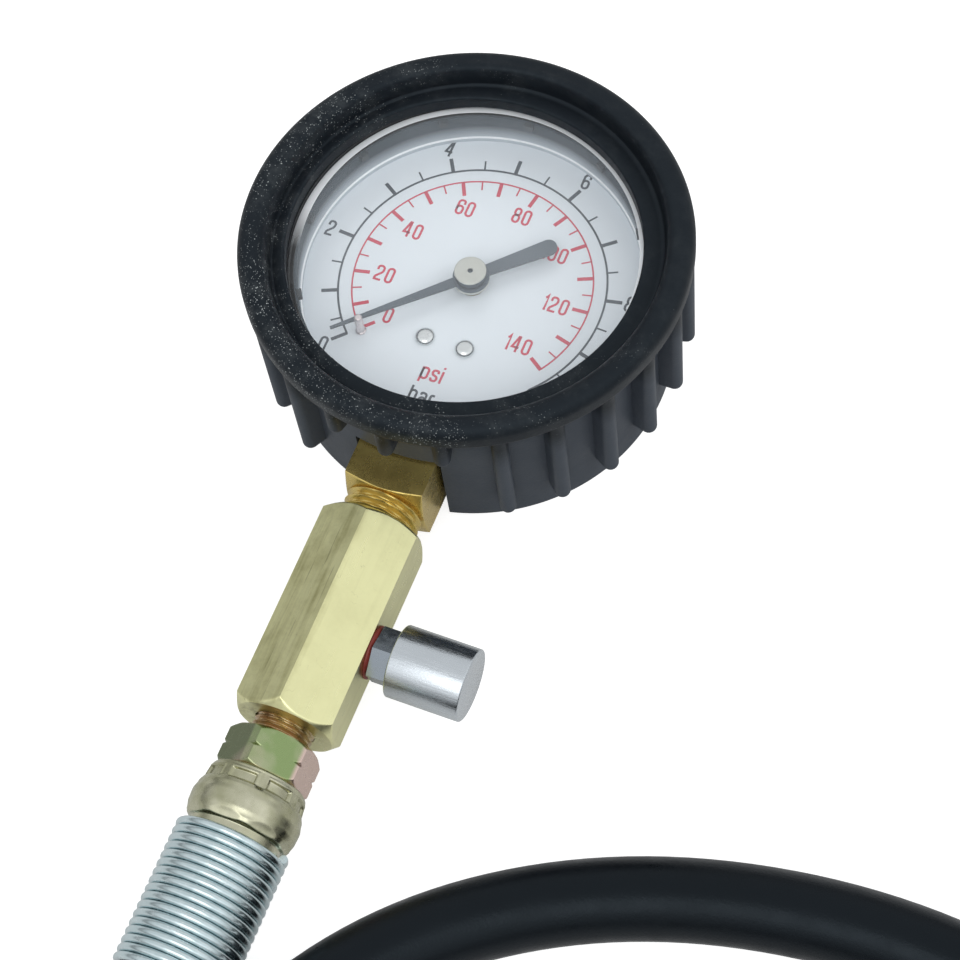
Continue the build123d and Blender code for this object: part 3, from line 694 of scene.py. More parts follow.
def drawn_brass(name, settings):
    """Pale brass of the hexagon body, with drawing lines, stains and nicks, and painted shade on
    its left side.
    """
    colour = tuple(settings.body_brass)
    look = Finish(name, colour, metallic=1.0, roughness=0.3)
    lines = look.streaks((750, 30, 750), 5)
    # Mask of the left half, which takes painted shade and heavier stains and scratches
    left = look.levels(look.axis(0), 0.001, -0.001)
    cloud = look.levels(look.noise(150, 5, 0.7), 0.42, 0.7)
    streak = look.levels(look.streaks((520, 34, 520), 4), 0.5, 0.7)
    stain = look.times(look.sum(cloud, streak), look.sum(look.times(left, 0.3), 0.1))
    # Painted shade: a darker range of the brass on the left half
    worn = look.blend(left, look.shades(lines, colour, 0.98, 1.01),
                      look.shades(lines, colour, 0.88, 1.05))
    worn = look.blend(stain, worn, srgb(134, 128, 74))
    scratch = look.levels(look.streaks((1500, 75, 1500), 2, 0.5), 0.66, 0.72)
    scratch = look.times(scratch, look.sum(look.times(left, 0.8), 0.05))
    curve = maths(look.tree, "ABSOLUTE", look.sum(look.noise(330, 3), -0.5))
    nicks = look.times(look.levels(curve, 0.006, 0.001),
                       look.levels(look.noise(640, 1), 0.58, 0.66, 0.0, 0.5))
    marks = look.sum(scratch, nicks)
    look.paint(look.blend(look.times(marks, 0.45), worn, srgb(88, 80, 48)))
    look.set("Roughness", look.levels(look.sum(lines, stain), 0.3, 1.3, 0.26, 0.42))
    height = look.sum(look.times(lines, 0.3), look.times(look.noise(420, 4, 0.6), 0.4))
    look.bump(look.sum(height, look.times(marks, -0.8)), 0.00003, 0.4)
    return look


def golden_brass(name, settings):
    """Yellow brass of the stem, with patches of tarnish."""
    colour = tuple(settings.socket_brass)
    look = Finish(name, colour, metallic=0.86, roughness=0.26)
    fine = look.noise(300, 4, 0.6)
    tarnish = look.levels(look.noise(110, 5, 0.65), 0.45, 0.75)
    worn = look.shades(fine, colour, 0.96, 1.04)
    look.paint(look.blend(look.times(tarnish, 0.3), worn, srgb(190, 158, 86)))
    look.gloss(fine, 0.2, 0.34)
    look.bump(fine, 0.00001, 0.3)
    return look


def passivated_zinc(name, near):
    """Zinc plate with a green, olive and rose tint, coppery on the near thread; on the near one,
    painted shade darkens the left faces.
    """
    look = Finish(name, srgb(176, 184, 150), metallic=1.0, roughness=0.3)
    drift = look.noise(170, 3, 0.5)
    green = look.blend(look.levels(drift, 0.4, 0.6), srgb(146, 166, 114), srgb(172, 180, 142))
    rose = look.levels(look.noise(120, 2, 0.5), 0.52, 0.7)
    if near:
        right = look.levels(look.axis(0), 0.0056, 0.0062)
        rose = look.sum(look.times(rose, 0.35), right)
        # Painted shade: the left faces of the near nut turn a darker green
        left = look.levels(look.axis(0), -0.0024, -0.0028)
        green = look.blend(left, green, srgb(124, 132, 104))
    tinted = look.blend(rose, green, srgb(218, 194, 183))
    if near:
        thread = look.levels(look.axis(1), -0.0867, -0.0863)
        foot = look.levels(look.axis(1), -0.0931, -0.0934)
        copper = look.blend(look.levels(look.noise(160, 2), 0.35, 0.65),
                            srgb(200, 188, 146), srgb(182, 146, 112))
        tinted = look.blend(look.sum(thread, foot), tinted, copper)
    look.paint(tinted)
    fine = look.noise(900, 4, 0.65)
    look.gloss(fine, 0.2, 0.4)
    look.bump(look.sum(fine, look.noise(260, 3)), 0.00003, 0.5)
    return look


def crimped_zinc(name, settings):
    colour = tuple(settings.zinc)
    look = Finish(name, colour, metallic=1.0, roughness=0.26)
    drift = look.levels(look.noise(140, 4, 0.6), 0.35, 0.7)
    look.paint(look.blend(drift, lighter(colour, 1.03), srgb(164, 164, 132)))
    fine = look.noise(750, 4, 0.6)
    look.gloss(fine, 0.2, 0.36)
    look.bump(look.sum(fine, look.times(look.noise(230, 3), 2.0)), 0.00004, 0.5)
    return look


def brushed_chrome(name, settings):
    """Plating on the push cap, with brush marks along it."""
    colour = tuple(settings.chrome)
    look = Finish(name, colour, metallic=1.0, roughness=0.22)
    marks = look.streaks((220, 2600, 2600), 4, 0.7)
    look.paint(look.shades(marks, colour, 0.86, 1.08))
    look.gloss(marks, 0.16, 0.34)
    sparkle = look.noise(2600, 2, 0.6)
    look.bump(look.sum(marks, look.times(sparkle, 0.6)), 0.00004, 0.6)
    return look


def wire_zinc(name):
    look = Finish(name, srgb(226, 234, 238), metallic=1.0, roughness=0.2)
    fine = look.noise(600, 4, 0.6)
    look.paint(look.blend(fine, srgb(184, 204, 208), srgb(224, 236, 238)))
    look.gloss(fine, 0.14, 0.3)
    look.bump(fine, 0.00003, 0.4)
    return look


def seal_rubber(name, colour):
    look = Finish(name, colour, roughness=0.5)
    look.paint(look.shades(look.noise(400, 3), colour, 0.75, 1.2))
    look.bump(look.noise(1800, 2), 0.00002, 0.5)
    return look


def dress(material, *names):
    """Gives carried nodes of the model a finish."""
    for name in names:
        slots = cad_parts[name].data.materials
        for index in range(len(slots)):
            slots[index] = material
        if not len(slots):
            slots.append(material)


def settle(name, mesh, material, slot, *nodes, body="tester"):
    """Piece that rides on a body and stands for the nodes it replaces, which it hides; its slot
    is not used.
    """
    made = piece(name, mesh, material)
    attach(made, body)
    if nodes:
        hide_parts(*nodes)
    return made


# Floor, light and camera
class TESTER_OT_stage(bpy.types.Operator):
    """Floor, light and camera"""
    bl_idname = "tester.stage"
    bl_label = "Stage"

    def execute(self, context):
        settings = context.scene.tester_stage
        scene = context.scene
        scene.view_settings.view_transform = "Standard"

        lens = bpy.data.cameras.new("camera")
        lens.lens = LENS
        lens.sensor_width = 36
        lens.sensor_fit = "HORIZONTAL"
        lens.clip_end = 50
        camera = bpy.data.objects.new("camera", lens)
        scene.collection.objects.link(camera)
        camera.location = CAMERA_AT
        camera.rotation_euler = CAMERA_TURN
        scene.camera = camera

        self.make_floor(settings)
        self.make_world(scene)
        # Name, place and width in metres, power in watts, and whether metal mirrors it
        softboxes = (
            ("back_box", (-0.35, 0.75, 0.95), 0.6, 1.6, False),
            ("front_box", (0.10, -0.75, 1.05), 0.8, 2.3, True),
            ("right_box", (0.85, 0.25, 0.75), 0.6, 2.3, False),
        )
        for name, place, size, power, mirrored in softboxes:
            lamp = bpy.data.lights.new(name, "AREA")
            lamp.size = size
            lamp.energy = power * settings.lamps
            box = bpy.data.objects.new(name, lamp)
            scene.collection.objects.link(box)
            box.location = place
            box.visible_glossy = mirrored
            aim = Vector(LAMP_AIM) - Vector(place)
            box.rotation_euler = aim.to_track_quat("-Z", "Y").to_euler()
        return {"FINISHED"}

    def make_floor(self, settings):
        """Paper that camera rays see white, while the object sees its colour."""
        work = bmesh.new()
        bmesh.ops.create_circle(work, cap_ends=True, radius=FLOOR_R, segments=64)
        mesh = bpy.data.meshes.new("floor")
        work.to_mesh(mesh)
        work.free()
        material = bpy.data.materials.new("floor_paper")
        material.use_nodes = True
        tree = material.node_tree
        sockets = tree.nodes["Principled BSDF"].inputs
        rays = tree.nodes.new("ShaderNodeLightPath").outputs
        seen = maths(tree, "MAXIMUM", maths(tree, "MULTIPLY", rays["Is Camera Ray"], 0.8),
                     maths(tree, "MULTIPLY", rays["Is Glossy Ray"], 0.15))
        for name, value in (("Base Color", (*settings.floor, 1)), ("Roughness", 0.9),
                            ("Specular IOR Level", 0.1), ("Emission Color", (1, 1, 1, 1)),
                            ("Emission Strength", seen)):
            feed(tree, sockets[name], value)
        floor = piece("floor", mesh, material)
        floor.location.z = FLOOR_Z

    def make_world(self, scene):
        """Soft room, brighter above, to the right and in front, and white to the camera."""
        world = bpy.data.worlds.new("studio")
        scene.world = world
        world.use_nodes = True
        tree = world.node_tree
        way = tree.nodes.new("ShaderNodeTexCoord").outputs["Generated"]
        right, back, up = node(tree, "ShaderNodeSeparateXYZ", way).outputs

        def ramp(value, low, high):
            made = tree.nodes.new("ShaderNodeMapRange")
            made.interpolation_type = "SMOOTHSTEP"
            for name, given in (("Value", value), ("From Min", low), ("From Max", high)):
                feed(tree, made.inputs[name], given)
            return made.outputs[0]

        height = ramp(up, 0.02, 0.6)
        front = ramp(maths(tree, "MULTIPLY", back, -1.0), 0.1, 0.55)
        level = WORLD_LOW
        for share, value in ((0.5, height), (0.2, ramp(right, 0.1, 0.8)),
                             (0.28, maths(tree, "MULTIPLY", front, height))):
            level = maths(tree, "ADD", level, maths(tree, "MULTIPLY", value, share))
        rays = tree.nodes.new("ShaderNodeLightPath").outputs
        level = maths(tree, "MAXIMUM", level,
                      maths(tree, "MULTIPLY", rays["Is Camera Ray"], 1.05))
        sockets = tree.nodes["Background"].inputs
        feed(tree, sockets["Strength"], level)
        feed(tree, sockets["Color"], (0.97, 0.985, 1.0, 1.0))


# Hose and its ends
class TESTER_OT_hose(bpy.types.Operator):
    """Hose along its route"""
    bl_idname = "tester.hose"
    bl_label = "Hose"

    def execute(self, context):
        settings = context.scene.tester_hose
        curve = bpy.data.curves.new("hose", "CURVE")
        curve.dimensions = "3D"
        spline = curve.splines.new("NURBS")
        spline.points.add(len(ROUTE) - 1)
        for point, place in zip(spline.points, ROUTE):
            point.co = (*(Vector(place) * MM), 1.0)
        spline.order_u = 3
        spline.use_endpoint_u = True
        spline.resolution_u = 14
        curve.bevel_depth = settings.radius
        curve.bevel_resolution = 10
        curve.use_fill_caps = True
        hose = settle("rubber_hose", curve, finish(hose_rubber, "hose_rubber", settings),
                      "hose_rubber", "hose")
        far = [end_ferrule("far_crimped_ferrule", "far_ferrule", far_end()),
               end_fitting("far_thread_fitting", "far_fitting", far_end(), far=True)]
        return {"FINISHED"}


def far_end():
    """Turns and moves the near hose end's shapes to the hose's far end."""
    last = Vector(ROUTE[-1]) * MM
    run = last - Vector(ROUTE[-2]) * MM
    turn = math.atan2(run.y, run.x) - math.pi / 2
    near = Vector((0, HOSE_START, STEM_Z)) * MM
    return (Matrix.Translation(last) @ Matrix.Rotation(turn, 4, "Z")
            @ Matrix.Translation(-near))


# Ferrule as depth below the nut and radius, its crimping dies and its staked pockets
FERRULE = (
    (0.0, 7.8), (0.35, 8.15), (1.0, 8.22), (2.8, 8.4), (4.0, 9.05), (5.6, 9.4),
    (7.2, 9.32), (8.6, 9.0), (9.2, 8.75), (9.75, 7.75), (18.5, 7.75),
)
FERRULE_BORE_R = 6.85
DIE_STEP = 45
DIE_TURN = -4.0
DIE_HALF = 8.2
NECK_R = 8.3
POCKET_AT = 2.1
POCKET_HALF_WIDE = 2.25
POCKET_HALF_HIGH = 0.9


def ferrule_radius(angle, along):
    """Crimped sleeve: neck with staked pockets, bulge, and flats at the waist."""
    depth = NUT_LOW - along
    radius = FERRULE[-1][1]
    for (low, first), (high, second) in zip(FERRULE, FERRULE[1:]):
        if low <= depth <= high:
            share = (depth - low) / (high - low)
            radius = first + (second - first) * share * share * (3 - 2 * share)
            break
    step = math.radians(DIE_STEP)
    local = (angle - math.radians(DIE_TURN) + step / 2) % step - step / 2
    if depth > 6.0:
        die = DIE_HALF + max(0.0, 9.9 - depth) ** 2 * 0.28
        radius = soft_min(radius, die / math.cos(local), 0.12)
    edge = max(abs(local) * NECK_R - POCKET_HALF_WIDE,
               abs(depth - POCKET_AT) - POCKET_HALF_HIGH)
    if edge < 0.75:
        rim = max(0.0, 1 - abs(edge - 0.18) / 0.34)
        radius += 0.16 * rim - 0.42 * held(-edge / 0.22)
    if depth < 0.6:
        radius += 0.06 * math.sin(3 * angle + 1) + 0.05 * math.sin(7 * angle)
    return radius


def end_ferrule(name, stands_for, place=Matrix()):
    """Ferrule with rows that crowd at its pockets and its waist."""
    stops = ((0, 0.5, 5), (0.5, 3.4, 25), (3.4, 6.0, 10), (6.0, 11.5, 40))
    depths = [depth for stop in stops for depth in spread(*stop)[:-1]]
    rows = [NUT_LOW - depth for depth in depths + spread(11.5, 18.5, 4)]
    bore = [(FERRULE_BORE_R, rows[-1]), (FERRULE_BORE_R, rows[0])]
    mesh = sleeve(on_stem, even(288), rows, ferrule_radius, bore, sharp=60)
    mesh.transform(place)
    zinc = finish(crimped_zinc, "ferrule_zinc", bpy.context.scene.tester_metal)
    return settle(name, mesh, zinc, "ferrule_zinc", stands_for)


def end_fitting(name, stands_for, place=Matrix(), far=False):
    """Threaded insert with a notched hexagon and the shank inside the hose."""
    normal = 30 if far else 22
    thread_end = NUT_TOP + (12.0 if far else 12.5)
    neck = NUT_TOP + (2.5 if far else 0.0)
    middle = (NUT_TOP + NUT_LOW) / 2
    corner = NUT_HALF / math.cos(math.pi / 6)

    def outer(angle, along):
        if along > NUT_TOP:
            if along < neck + 0.3:
                return HOSE_THREAD_R - 0.55
            lead = min(0.5, max(0.0, 0.55 - (thread_end - along)))
            return HOSE_THREAD_R - lead - thread_depth(angle, along, HOSE_PITCH, 0.52)
        if along < NUT_LOW:
            return SHANK_R
        flat = flats(NUT_HALF, 6, normal, angle)
        cone = corner - 0.95 + min(NUT_TOP - along, along - NUT_LOW) * 1.15
        notch = corner - 0.55 + abs(along - middle) * 1.6
        return soft_min(soft_min(flat, cone, 0.16), notch, 0.1)

    rows = spread(thread_end, NUT_TOP + 0.01, int((thread_end - NUT_TOP) / 0.08))
    for start, steps in ((NUT_TOP, spread(0, -1.2, 10)), (NUT_TOP, spread(-1.5, -2.9, 4)),
                         (middle, spread(0.45, -0.45, 9)), (NUT_LOW, spread(2.9, 1.5, 4)),
                         (NUT_LOW, spread(1.2, 0, 10))):
        rows += [start + step for step in steps]
    rows += [NUT_LOW - 0.01, NUT_LOW - 6.45]
    bore = [(BORE_R, rows[-1]), (BORE_R, rows[0])]
    mesh = sleeve(on_stem, cornered(6, normal), rows, outer, bore, sharp=40)
    mesh.transform(place)
    zinc = finish(passivated_zinc, "zinc_rose" if far else "zinc_yellow", not far)
    return settle(name, mesh, zinc, "zinc_yellow", stands_for)


class TESTER_OT_hose_end(bpy.types.Operator):
    """Threaded insert, ferrule and spring guard at the near end of the hose"""
    bl_idname = "tester.hose_end"
    bl_label = "Hose end"

    def execute(self, context):
        settings = context.scene.tester_hose
        end_fitting("hose_insert_fitting", "hose_insert")
        end_ferrule("near_crimped_ferrule", "ferrule")

        wire = settings.guard_wire
        turns = settings.guard_turns
        zinc = finish(wire_zinc, "guard_steel")
        mesh = grown(
            wound_wire(), Turns=turns, Steps=56,
            Coil_radius=settings.guard_radius - wire / 2, Wire_radius=wire * 0.492,
            Length=wire * turns, Material=zinc)
        start = Vector((0, GUARD_START, STEM_Z)) * MM - Vector((0, wire / 2, 0))
        mesh.transform(Matrix.Translation(start) @ Matrix.Rotation(math.pi / 2, 4, "X"))
        settle("spring_guard_wire", shaded(mesh, 60), zinc, "guard_steel", "spring_guard")
        return {"FINISHED"}


# Gauge
class TESTER_OT_boot(bpy.types.Operator):
    """Rubber boot with its roll, ribs and cut-out"""
    bl_idname = "tester.boot"
    bl_label = "Rubber boot"

    def execute(self, context):
        settings = context.scene.tester_boot
        rubber = finish(boot_rubber, "boot_rubber", settings)
        outline = rounded([
            (0, 0), (WALL_R, 0, 0.9), (WALL_R, 31.1, 0.6), (35.4, 32.0, 0.3),
            (ROLL_R, 32.1, 0.9), (ROLL_R, 37.0, 2.7), (34.1, 37.0, 2.4), (33.3, 31.6, 0.7),
            (30.0, 32.2, 0.5), (30.0, 29.5), (31.6, 29.5), (31.6, 2.0), (0, 2.0)], steps=7)
        shell = turned(on_dial, outline, steps=288)
        gap = slab(((-7.7, -42), (7.7, -42), (7.7, -28), (-7.7, -28)), -1, 19.3)
        shell = cut(shell, gap)
        shell.materials.clear()
        shell.materials.append(rubber)

        # Three short ribs stand over the cut-out
        step = 2 * math.pi / settings.rib_count
        short = 3
        copies = ring_of_copies()
        ribs = []
        for low, start, count in ((6.3, 2 * step, settings.rib_count - short),
                                  (24.4, -step, short)):
            rib = piece("rib", self.rib(settings.rib_radius / MM, low))
            ribs.append(grown(copies, Count=count, Start=start, Step=step, Piece=rib,
                              Material=rubber))
            bpy.data.objects.remove(rib)
        settle("ribbed_boot", self.worn_in(joined([shell, *ribs])), rubber, "boot_rubber",
               "rubber_boot")
        return {"FINISHED"}

    def worn_in(self, mesh):
        """Lip pulled aside and raised in front, and the roll pressed down at the back."""
        for corner in mesh.vertices:
            x, y, z = corner.co / MM
            across = math.hypot(x, y)
            if z < 28 or across < 25:
                continue
            lip = held((LIP_EDGE_R - across) / 1.6)
            roll = held((across - LIP_EDGE_R) / 2.6)
            upper = min(1.0, (z - 28) / 3.5)
            x += lip * (0.4 * x / across - 0.65)
            y -= lip * 0.15 * y / across
            z += lip * max(0.0, -y / across) * 0.4
            z += roll * upper * min(0.0, -0.034 * (y + 12))
            corner.co = Vector((x, y, z)) * MM
        return mesh

    def rib(self, radius, low):
        """Half-round rib at -Y with a rounded lower end."""
        root = LIP_EDGE_R + 0.2
        centre = RIB_R - radius
        rings = []
        heights = [low + radius * (1 - cosine) for cosine, sine in arc(6, 90, 12)]
        for height in [*heights, low + radius, 31.2, 32.6]:
            below = held((low + radius - height) / radius)
            half = max(radius * math.sqrt(1 - below * below), 0.12)
            if height > 32:
                half += 0.1
            crown = [(-half * cosine, -centre - half * sine, height)
                     for cosine, sine in arc(0, 180, 12)]
            rings.append([(-half, -root, height), *crown, (half, -root, height)])
        return skin(rings)


class TESTER_OT_window(bpy.types.Operator):
    """Window with its bevelled edge, the case and the ring behind it"""
    bl_idname = "tester.window"
    bl_label = "Window and case"

    def execute(self, context):
        outline = rounded([
            (0, WINDOW_LOW), (WINDOW_R, WINDOW_LOW, 0.1), (WINDOW_R, 28.5, 0.1),
            (30.3, 28.8, 0.1), (29.1, WINDOW_TOP, 0.25), (0, WINDOW_TOP)])
        mesh = turned(on_dial, outline, steps=256, sharp=12)
        settle("gauge_window", mesh, finish(clear_window, "window_clear"), "window_clear",
               "window")
        # The upper faces of the bevel take the painted highlight
        mesh.materials.append(finish(window_bevel_painted_highlight, "window_edge"))
        for face in mesh.polygons:
            if face.normal.z > 0.15 and face.center.xy.length > 29.05 * MM:
                face.material_index = 1

        wall = turned(on_dial, [
            (29.45, 20.05), (29.45, 20.9), (29.7, 21.15), (29.7, 27.2), (30.05, 27.2),
            (30.05, 20.05)], steps=256)
        wall.materials.append(finish(ring_wall_painted_light, "ring_grey"))
        lug = piece("lug", slab(
            ((-0.75, 28.9), (0.75, 28.9), (0.75, 29.8), (-0.75, 29.8)), 25.9, 27.2))
        dark = finish(satin_paint, "ring_lug", srgb(36, 45, 50), 0.5)
        lugs = grown(ring_of_copies(), Count=12, Start=math.radians(1),
                     Step=math.radians(-30), Piece=lug, Material=dark)
        bpy.data.objects.remove(lug)
        settle("lugged_ring", joined([wall, lugs]), None, "ring_grey", "spacer_ring")
        dress(finish(case_paint, "case_black", srgb(30, 31, 33)), "gauge_case")
        return {"FINISHED"}


def arc_band(radius, width, start, end, low, high):
    """Flat band on the dial between two clockwise angles from 12 o'clock."""
    rings = []
    for angle in spread(start, end, 181):
        turn = math.radians(angle)
        across = (math.sin(turn), math.cos(turn))
        rings.append([(across[0] * r, across[1] * r, z) for r, z in (
            (radius - width / 2, low), (radius + width / 2, low),
            (radius + width / 2, high), (radius - width / 2, high))])
    return skin(rings)


# Strokes of each sign in widths across and heights up, with corner radii in widths; a path
# in brackets of its own is closed. Below, a sign's size and the ink's lift in millimetres
SIGNS = {
    "0": (((0, 0, .5), (1, 0, .5), (1, 1, .5), (0, 1, .5)),),
    "1": ((0, .82, 0), (.2, .86, .2), (.42, 1.05, 0), (.42, -.06, 0)),
    "2": ((0, .7, 0), (0, 1, .5), (1, 1, .5), (1, .6, .9), (0, .2, .4), (0, 0, 0),
          (1.08, 0, 0)),
    "4": ((1.12, .28, 0), (.02, .28, 0), (.62, 1.04, 0), (.8, 1.04, 0), (.8, -.06, 0)),
    "6": (((0, 0, .5), (1, 0, .5), (1, .57, .5), (0, .57, .5)),
          (0, .3, 0), (0, 1, .6), (1, 1, .5), (1, .72, 0)),
    "8": (((0, 0, .5), (1, 0, .5), (1, .52, .5), (0, .52, .5)),
          ((.05, .52, .45), (.95, .52, .45), (.95, 1, .45), (.05, 1, .45))),
    "b": (((0, 0, .45), (1, 0, .45), (1, .74, .45), (0, .74, .45)),
          (0, 1.06, 0), (0, -.05, 0)),
    "a": (((0, 0, .45), (.95, 0, .45), (.95, .42, .4), (0, .42, .45)),
          (.06, .58, 0), (.06, .74, .4), (.95, .74, .45), (.95, -.05, 0)),
    "r": ((0, -.05, 0), (0, .74, .35), (.6, .74, 0)),
    "p": (((0, 0, .45), (1, 0, .45), (1, .74, .45), (0, .74, .45)),
          (0, .78, 0), (0, -.3, 0)),
    "s": ((.9, .56, 0), (.9, .74, .4), (0, .74, .4), (0, .42, .4), (.9, .33, .4),
          (.9, 0, .4), (0, 0, .4), (0, .18, 0)),
    "i": ((0, -.05, 0), (0, .8, 0)),
}
SIGN_WIDE = 1.07
SIGN_HIGH = 2.77
SIGN_STROKE = 0.41
SIGN_GAP = 0.76
INK_LIFT = 0.005


def stroke(path, loop, low, high):
    """Flat band of one stroke's width along a path on the dial."""
    count = len(path)
    rings = []
    for index in range(count):
        here = Vector(path[index])
        back = Vector(path[index - 1]) if loop or index else here
        ahead = Vector(path[(index + 1) % count]) if loop or index < count - 1 else here
        ways = [way.normalized() for way in (here - back, ahead - here) if way.length > 0]
        along = sum(ways, Vector((0, 0))).normalized()
        side = Vector((-along.y, along.x)) * SIGN_STROKE / 2
        side /= max(0.5, along.dot(ways[0]))
        rings.append([(*(here + side * share), z) for share, z in (
            (-1, low), (1, low), (1, high), (-1, high))])
    return skin(rings, loop=loop)


def printed(text, x, y, low, high):
    """Digits or letters on the dial, centred across and with their height's middle at y."""
    signs = []
    pen = 0.0
    for sign in text:
        parts = SIGNS[sign]
        loops = [part for part in parts if isinstance(part[0], tuple)]
        line = [part for part in parts if not isinstance(part[0], tuple)]
        reach = max(point[0] for path in [*loops, line] for point in path) * SIGN_WIDE
        for loop, path in [*((True, path) for path in loops), (False, line)]:
            if path:
                sized = [(pen + a * SIGN_WIDE, b * SIGN_HIGH, c * SIGN_WIDE)
                         for a, b, c in path]
                signs.append((loop, rounded(sized, closed=loop, steps=8)))
        if sign == "i":
            signs.append((False, [(pen, .98 * SIGN_HIGH), (pen, 1.1 * SIGN_HIGH)]))
        pen += reach + SIGN_GAP
    left = x - (pen - SIGN_GAP) / 2
    foot = y - SIGN_HIGH / 2
    return [stroke([(left + a, foot + b) for a, b in path], loop, low, high)
            for loop, path in signs]


# Each scale's ink; its band's radius, width, start and end; rows of ticks as first angle,
# step, count, inner radius, outer radius and width; and its words with their places
SCALES = {
    "outer_scale": (
        "bar_ink", (23.3, 0.36, -134.4, 134.0),
        ((-134.2, 27.33, 1, 23.2, 26.2, 0.62), (-112.19, 27.33, 10, 23.2, 26.2, 0.66),
         (-126.0, 27.33, 1, 23.2, 25.2, 0.3), (-98.5, 27.33, 9, 23.2, 25.2, 0.3)),
        (("0", -19.8, -19.6), ("2", -27.7, 2.4), ("4", -14.1, 24.5), ("6", 11.2, 25.9),
         ("8", 27.0, 5.1), ("10", 20.4, -19.4), ("bar", 0.2, -23.3))),
    "inner_scale": (
        "psi_ink", (20.9, 0.28, -134.4, 124.8),
        ((-134.2, 18.86, 1, 18.1, 21.0, 0.62), (-120.66, 18.86, 14, 18.1, 21.0, 0.66),
         (-128.0, 18.86, 1, 19.15, 21.0, 0.26), (-111.2, 18.86, 13, 19.15, 21.0, 0.26)),
        (("0", -11.3, -10.6), ("20", -15.1, -3.2), ("40", -13.9, 6.6), ("60", -6.9, 13.9),
         ("80", 3.1, 15.5), ("100", 11.3, 10.3), ("120", 15.1, 0.8), ("140", 11.9, -8.6),
         ("psi", 0.2, -18.6))),
}


class TESTER_OT_dial(bpy.types.Operator):
    """Dial with its two printed scales"""
    bl_idname = "tester.dial"
    bl_label = "Dial"

    def execute(self, context):
        settings = context.scene.tester_dial
        dress(finish(satin_paint, "dial_white", tuple(settings.dial)), "dial_plate")
        bars = ring_of_bars()
        thick = settings.ink_height
        low = DIAL_Z + INK_LIFT
        high = low + thick / MM
        for name, (ink, band, ticks, words) in SCALES.items():
            paint = finish(satin_paint, ink, tuple(getattr(settings, ink)), 0.4)
            parts = [arc_band(*band, low, high)]
            for start, step, count, inner, outer, width in ticks:
                parts.append(grown(
                    bars, Count=count, Start=math.radians(start), Step=math.radians(step),
                    Radius=(inner + outer) / 2 * MM, Length=(outer - inner) * MM,
                    Width=width * MM, Height=thick, Level=low * MM + thick / 2,
                    Material=paint))
            for word in words:
                parts += printed(*word, low, high)
            settle(name, joined(parts), paint, "dial_white")
        return {"FINISHED"}


# The pointer's outline, millimetres, and its turn from 12 o'clock in degrees
POINTER_TURN = 132.7
POINTER_REACH = 25.8
POINTER_HALF = 0.95
POINTER_TIP_HALF = 0.2
TAIL_AT = 14.3
TAIL_R = 1.5
COLLAR_R = 3.15


class TESTER_OT_pointer(bpy.types.Operator):
    """Pointer with its hub, the stop pin and the dial screws"""
    bl_idname = "tester.pointer"
    bl_label = "Pointer and dial screws"

    def execute(self, context):
        painted = tuple(context.scene.tester_dial.needle)
        bright = srgb(208, 209, 200)
        settle("needle_blade", self.needle(),
               finish(banded, "pointer_black", bright, painted, 22.1, 0.35),
               "pointer_black", "pointer", body="needle")
        outline = rounded([
            (0, 23.75), (0.82, 23.75), (0.82, 22.9), (2.8, 22.9, 0.1), (2.8, 24.5, 0.2),
            (0.45, 24.5, 0.1), (0.45, 23.95), (0, 23.95)])
        settle("pointer_cap", turned(on_dial, outline, 96),
               finish(banded, "hub_silver", painted, bright, 24.25, 0.85),
               "hub_silver", "pointer_hub", body="needle")

        head = [(0, DIAL_Z + 1.1)]
        head += [(SCREW_R * sine, DIAL_Z + 0.15 + 0.95 * cosine)
                 for cosine, sine in arc(8, 90, 9)]
        head += [(SCREW_R, DIAL_Z + 0.01), (0.9, DIAL_Z + 0.01), (0.9, 15.4), (0, 15.4)]
        for side, x in (("left", -SCREW_X), ("right", SCREW_X)):
            settle("dial_screw_dome_" + side, turned(upright(x, SCREW_Y), head, 64),
                   screw_steel(), "screw_steel", "dial_screw_" + side)

        pin = rounded([(0, 19.2), (0.5, 19.2), (0.5, 20.01), (0.95, 20.01, 0.1),
                       (0.95, 20.3, 0.15), (0.72, 20.45, 0.1), (0.72, 24.6, 0.5), (0, 24.6)])
        settle("stop_pin_post", turned(upright(PIN_X, PIN_Y), pin, 48),
               finish(plain_metal, "pin_steel", srgb(232, 222, 222), 0.3),
               "screw_steel", "stop_pin")
        return {"FINISHED"}

    def needle(self):
        """Tapered needle with a round tail and the collar under the hub."""
        outline = [(POINTER_HALF, 0), (POINTER_TIP_HALF, POINTER_REACH),
                   (-POINTER_TIP_HALF, POINTER_REACH), (-POINTER_HALF, 0)]
        outline += [(-TAIL_R * cosine, -TAIL_AT - TAIL_R * sine)
                    for cosine, sine in arc(0, 180, 10)]
        collar = turned(on_dial, rounded([
            (0.82, 21.4), (COLLAR_R, 21.4, 0.15), (COLLAR_R, 22.9, 0.1), (0.82, 22.9)]), 96)
        mesh = joined([slab(outline, 22.3, 22.8), collar])
        mesh.transform(Matrix.Rotation(math.radians(POINTER_TURN), 4, "Z"))
        return mesh


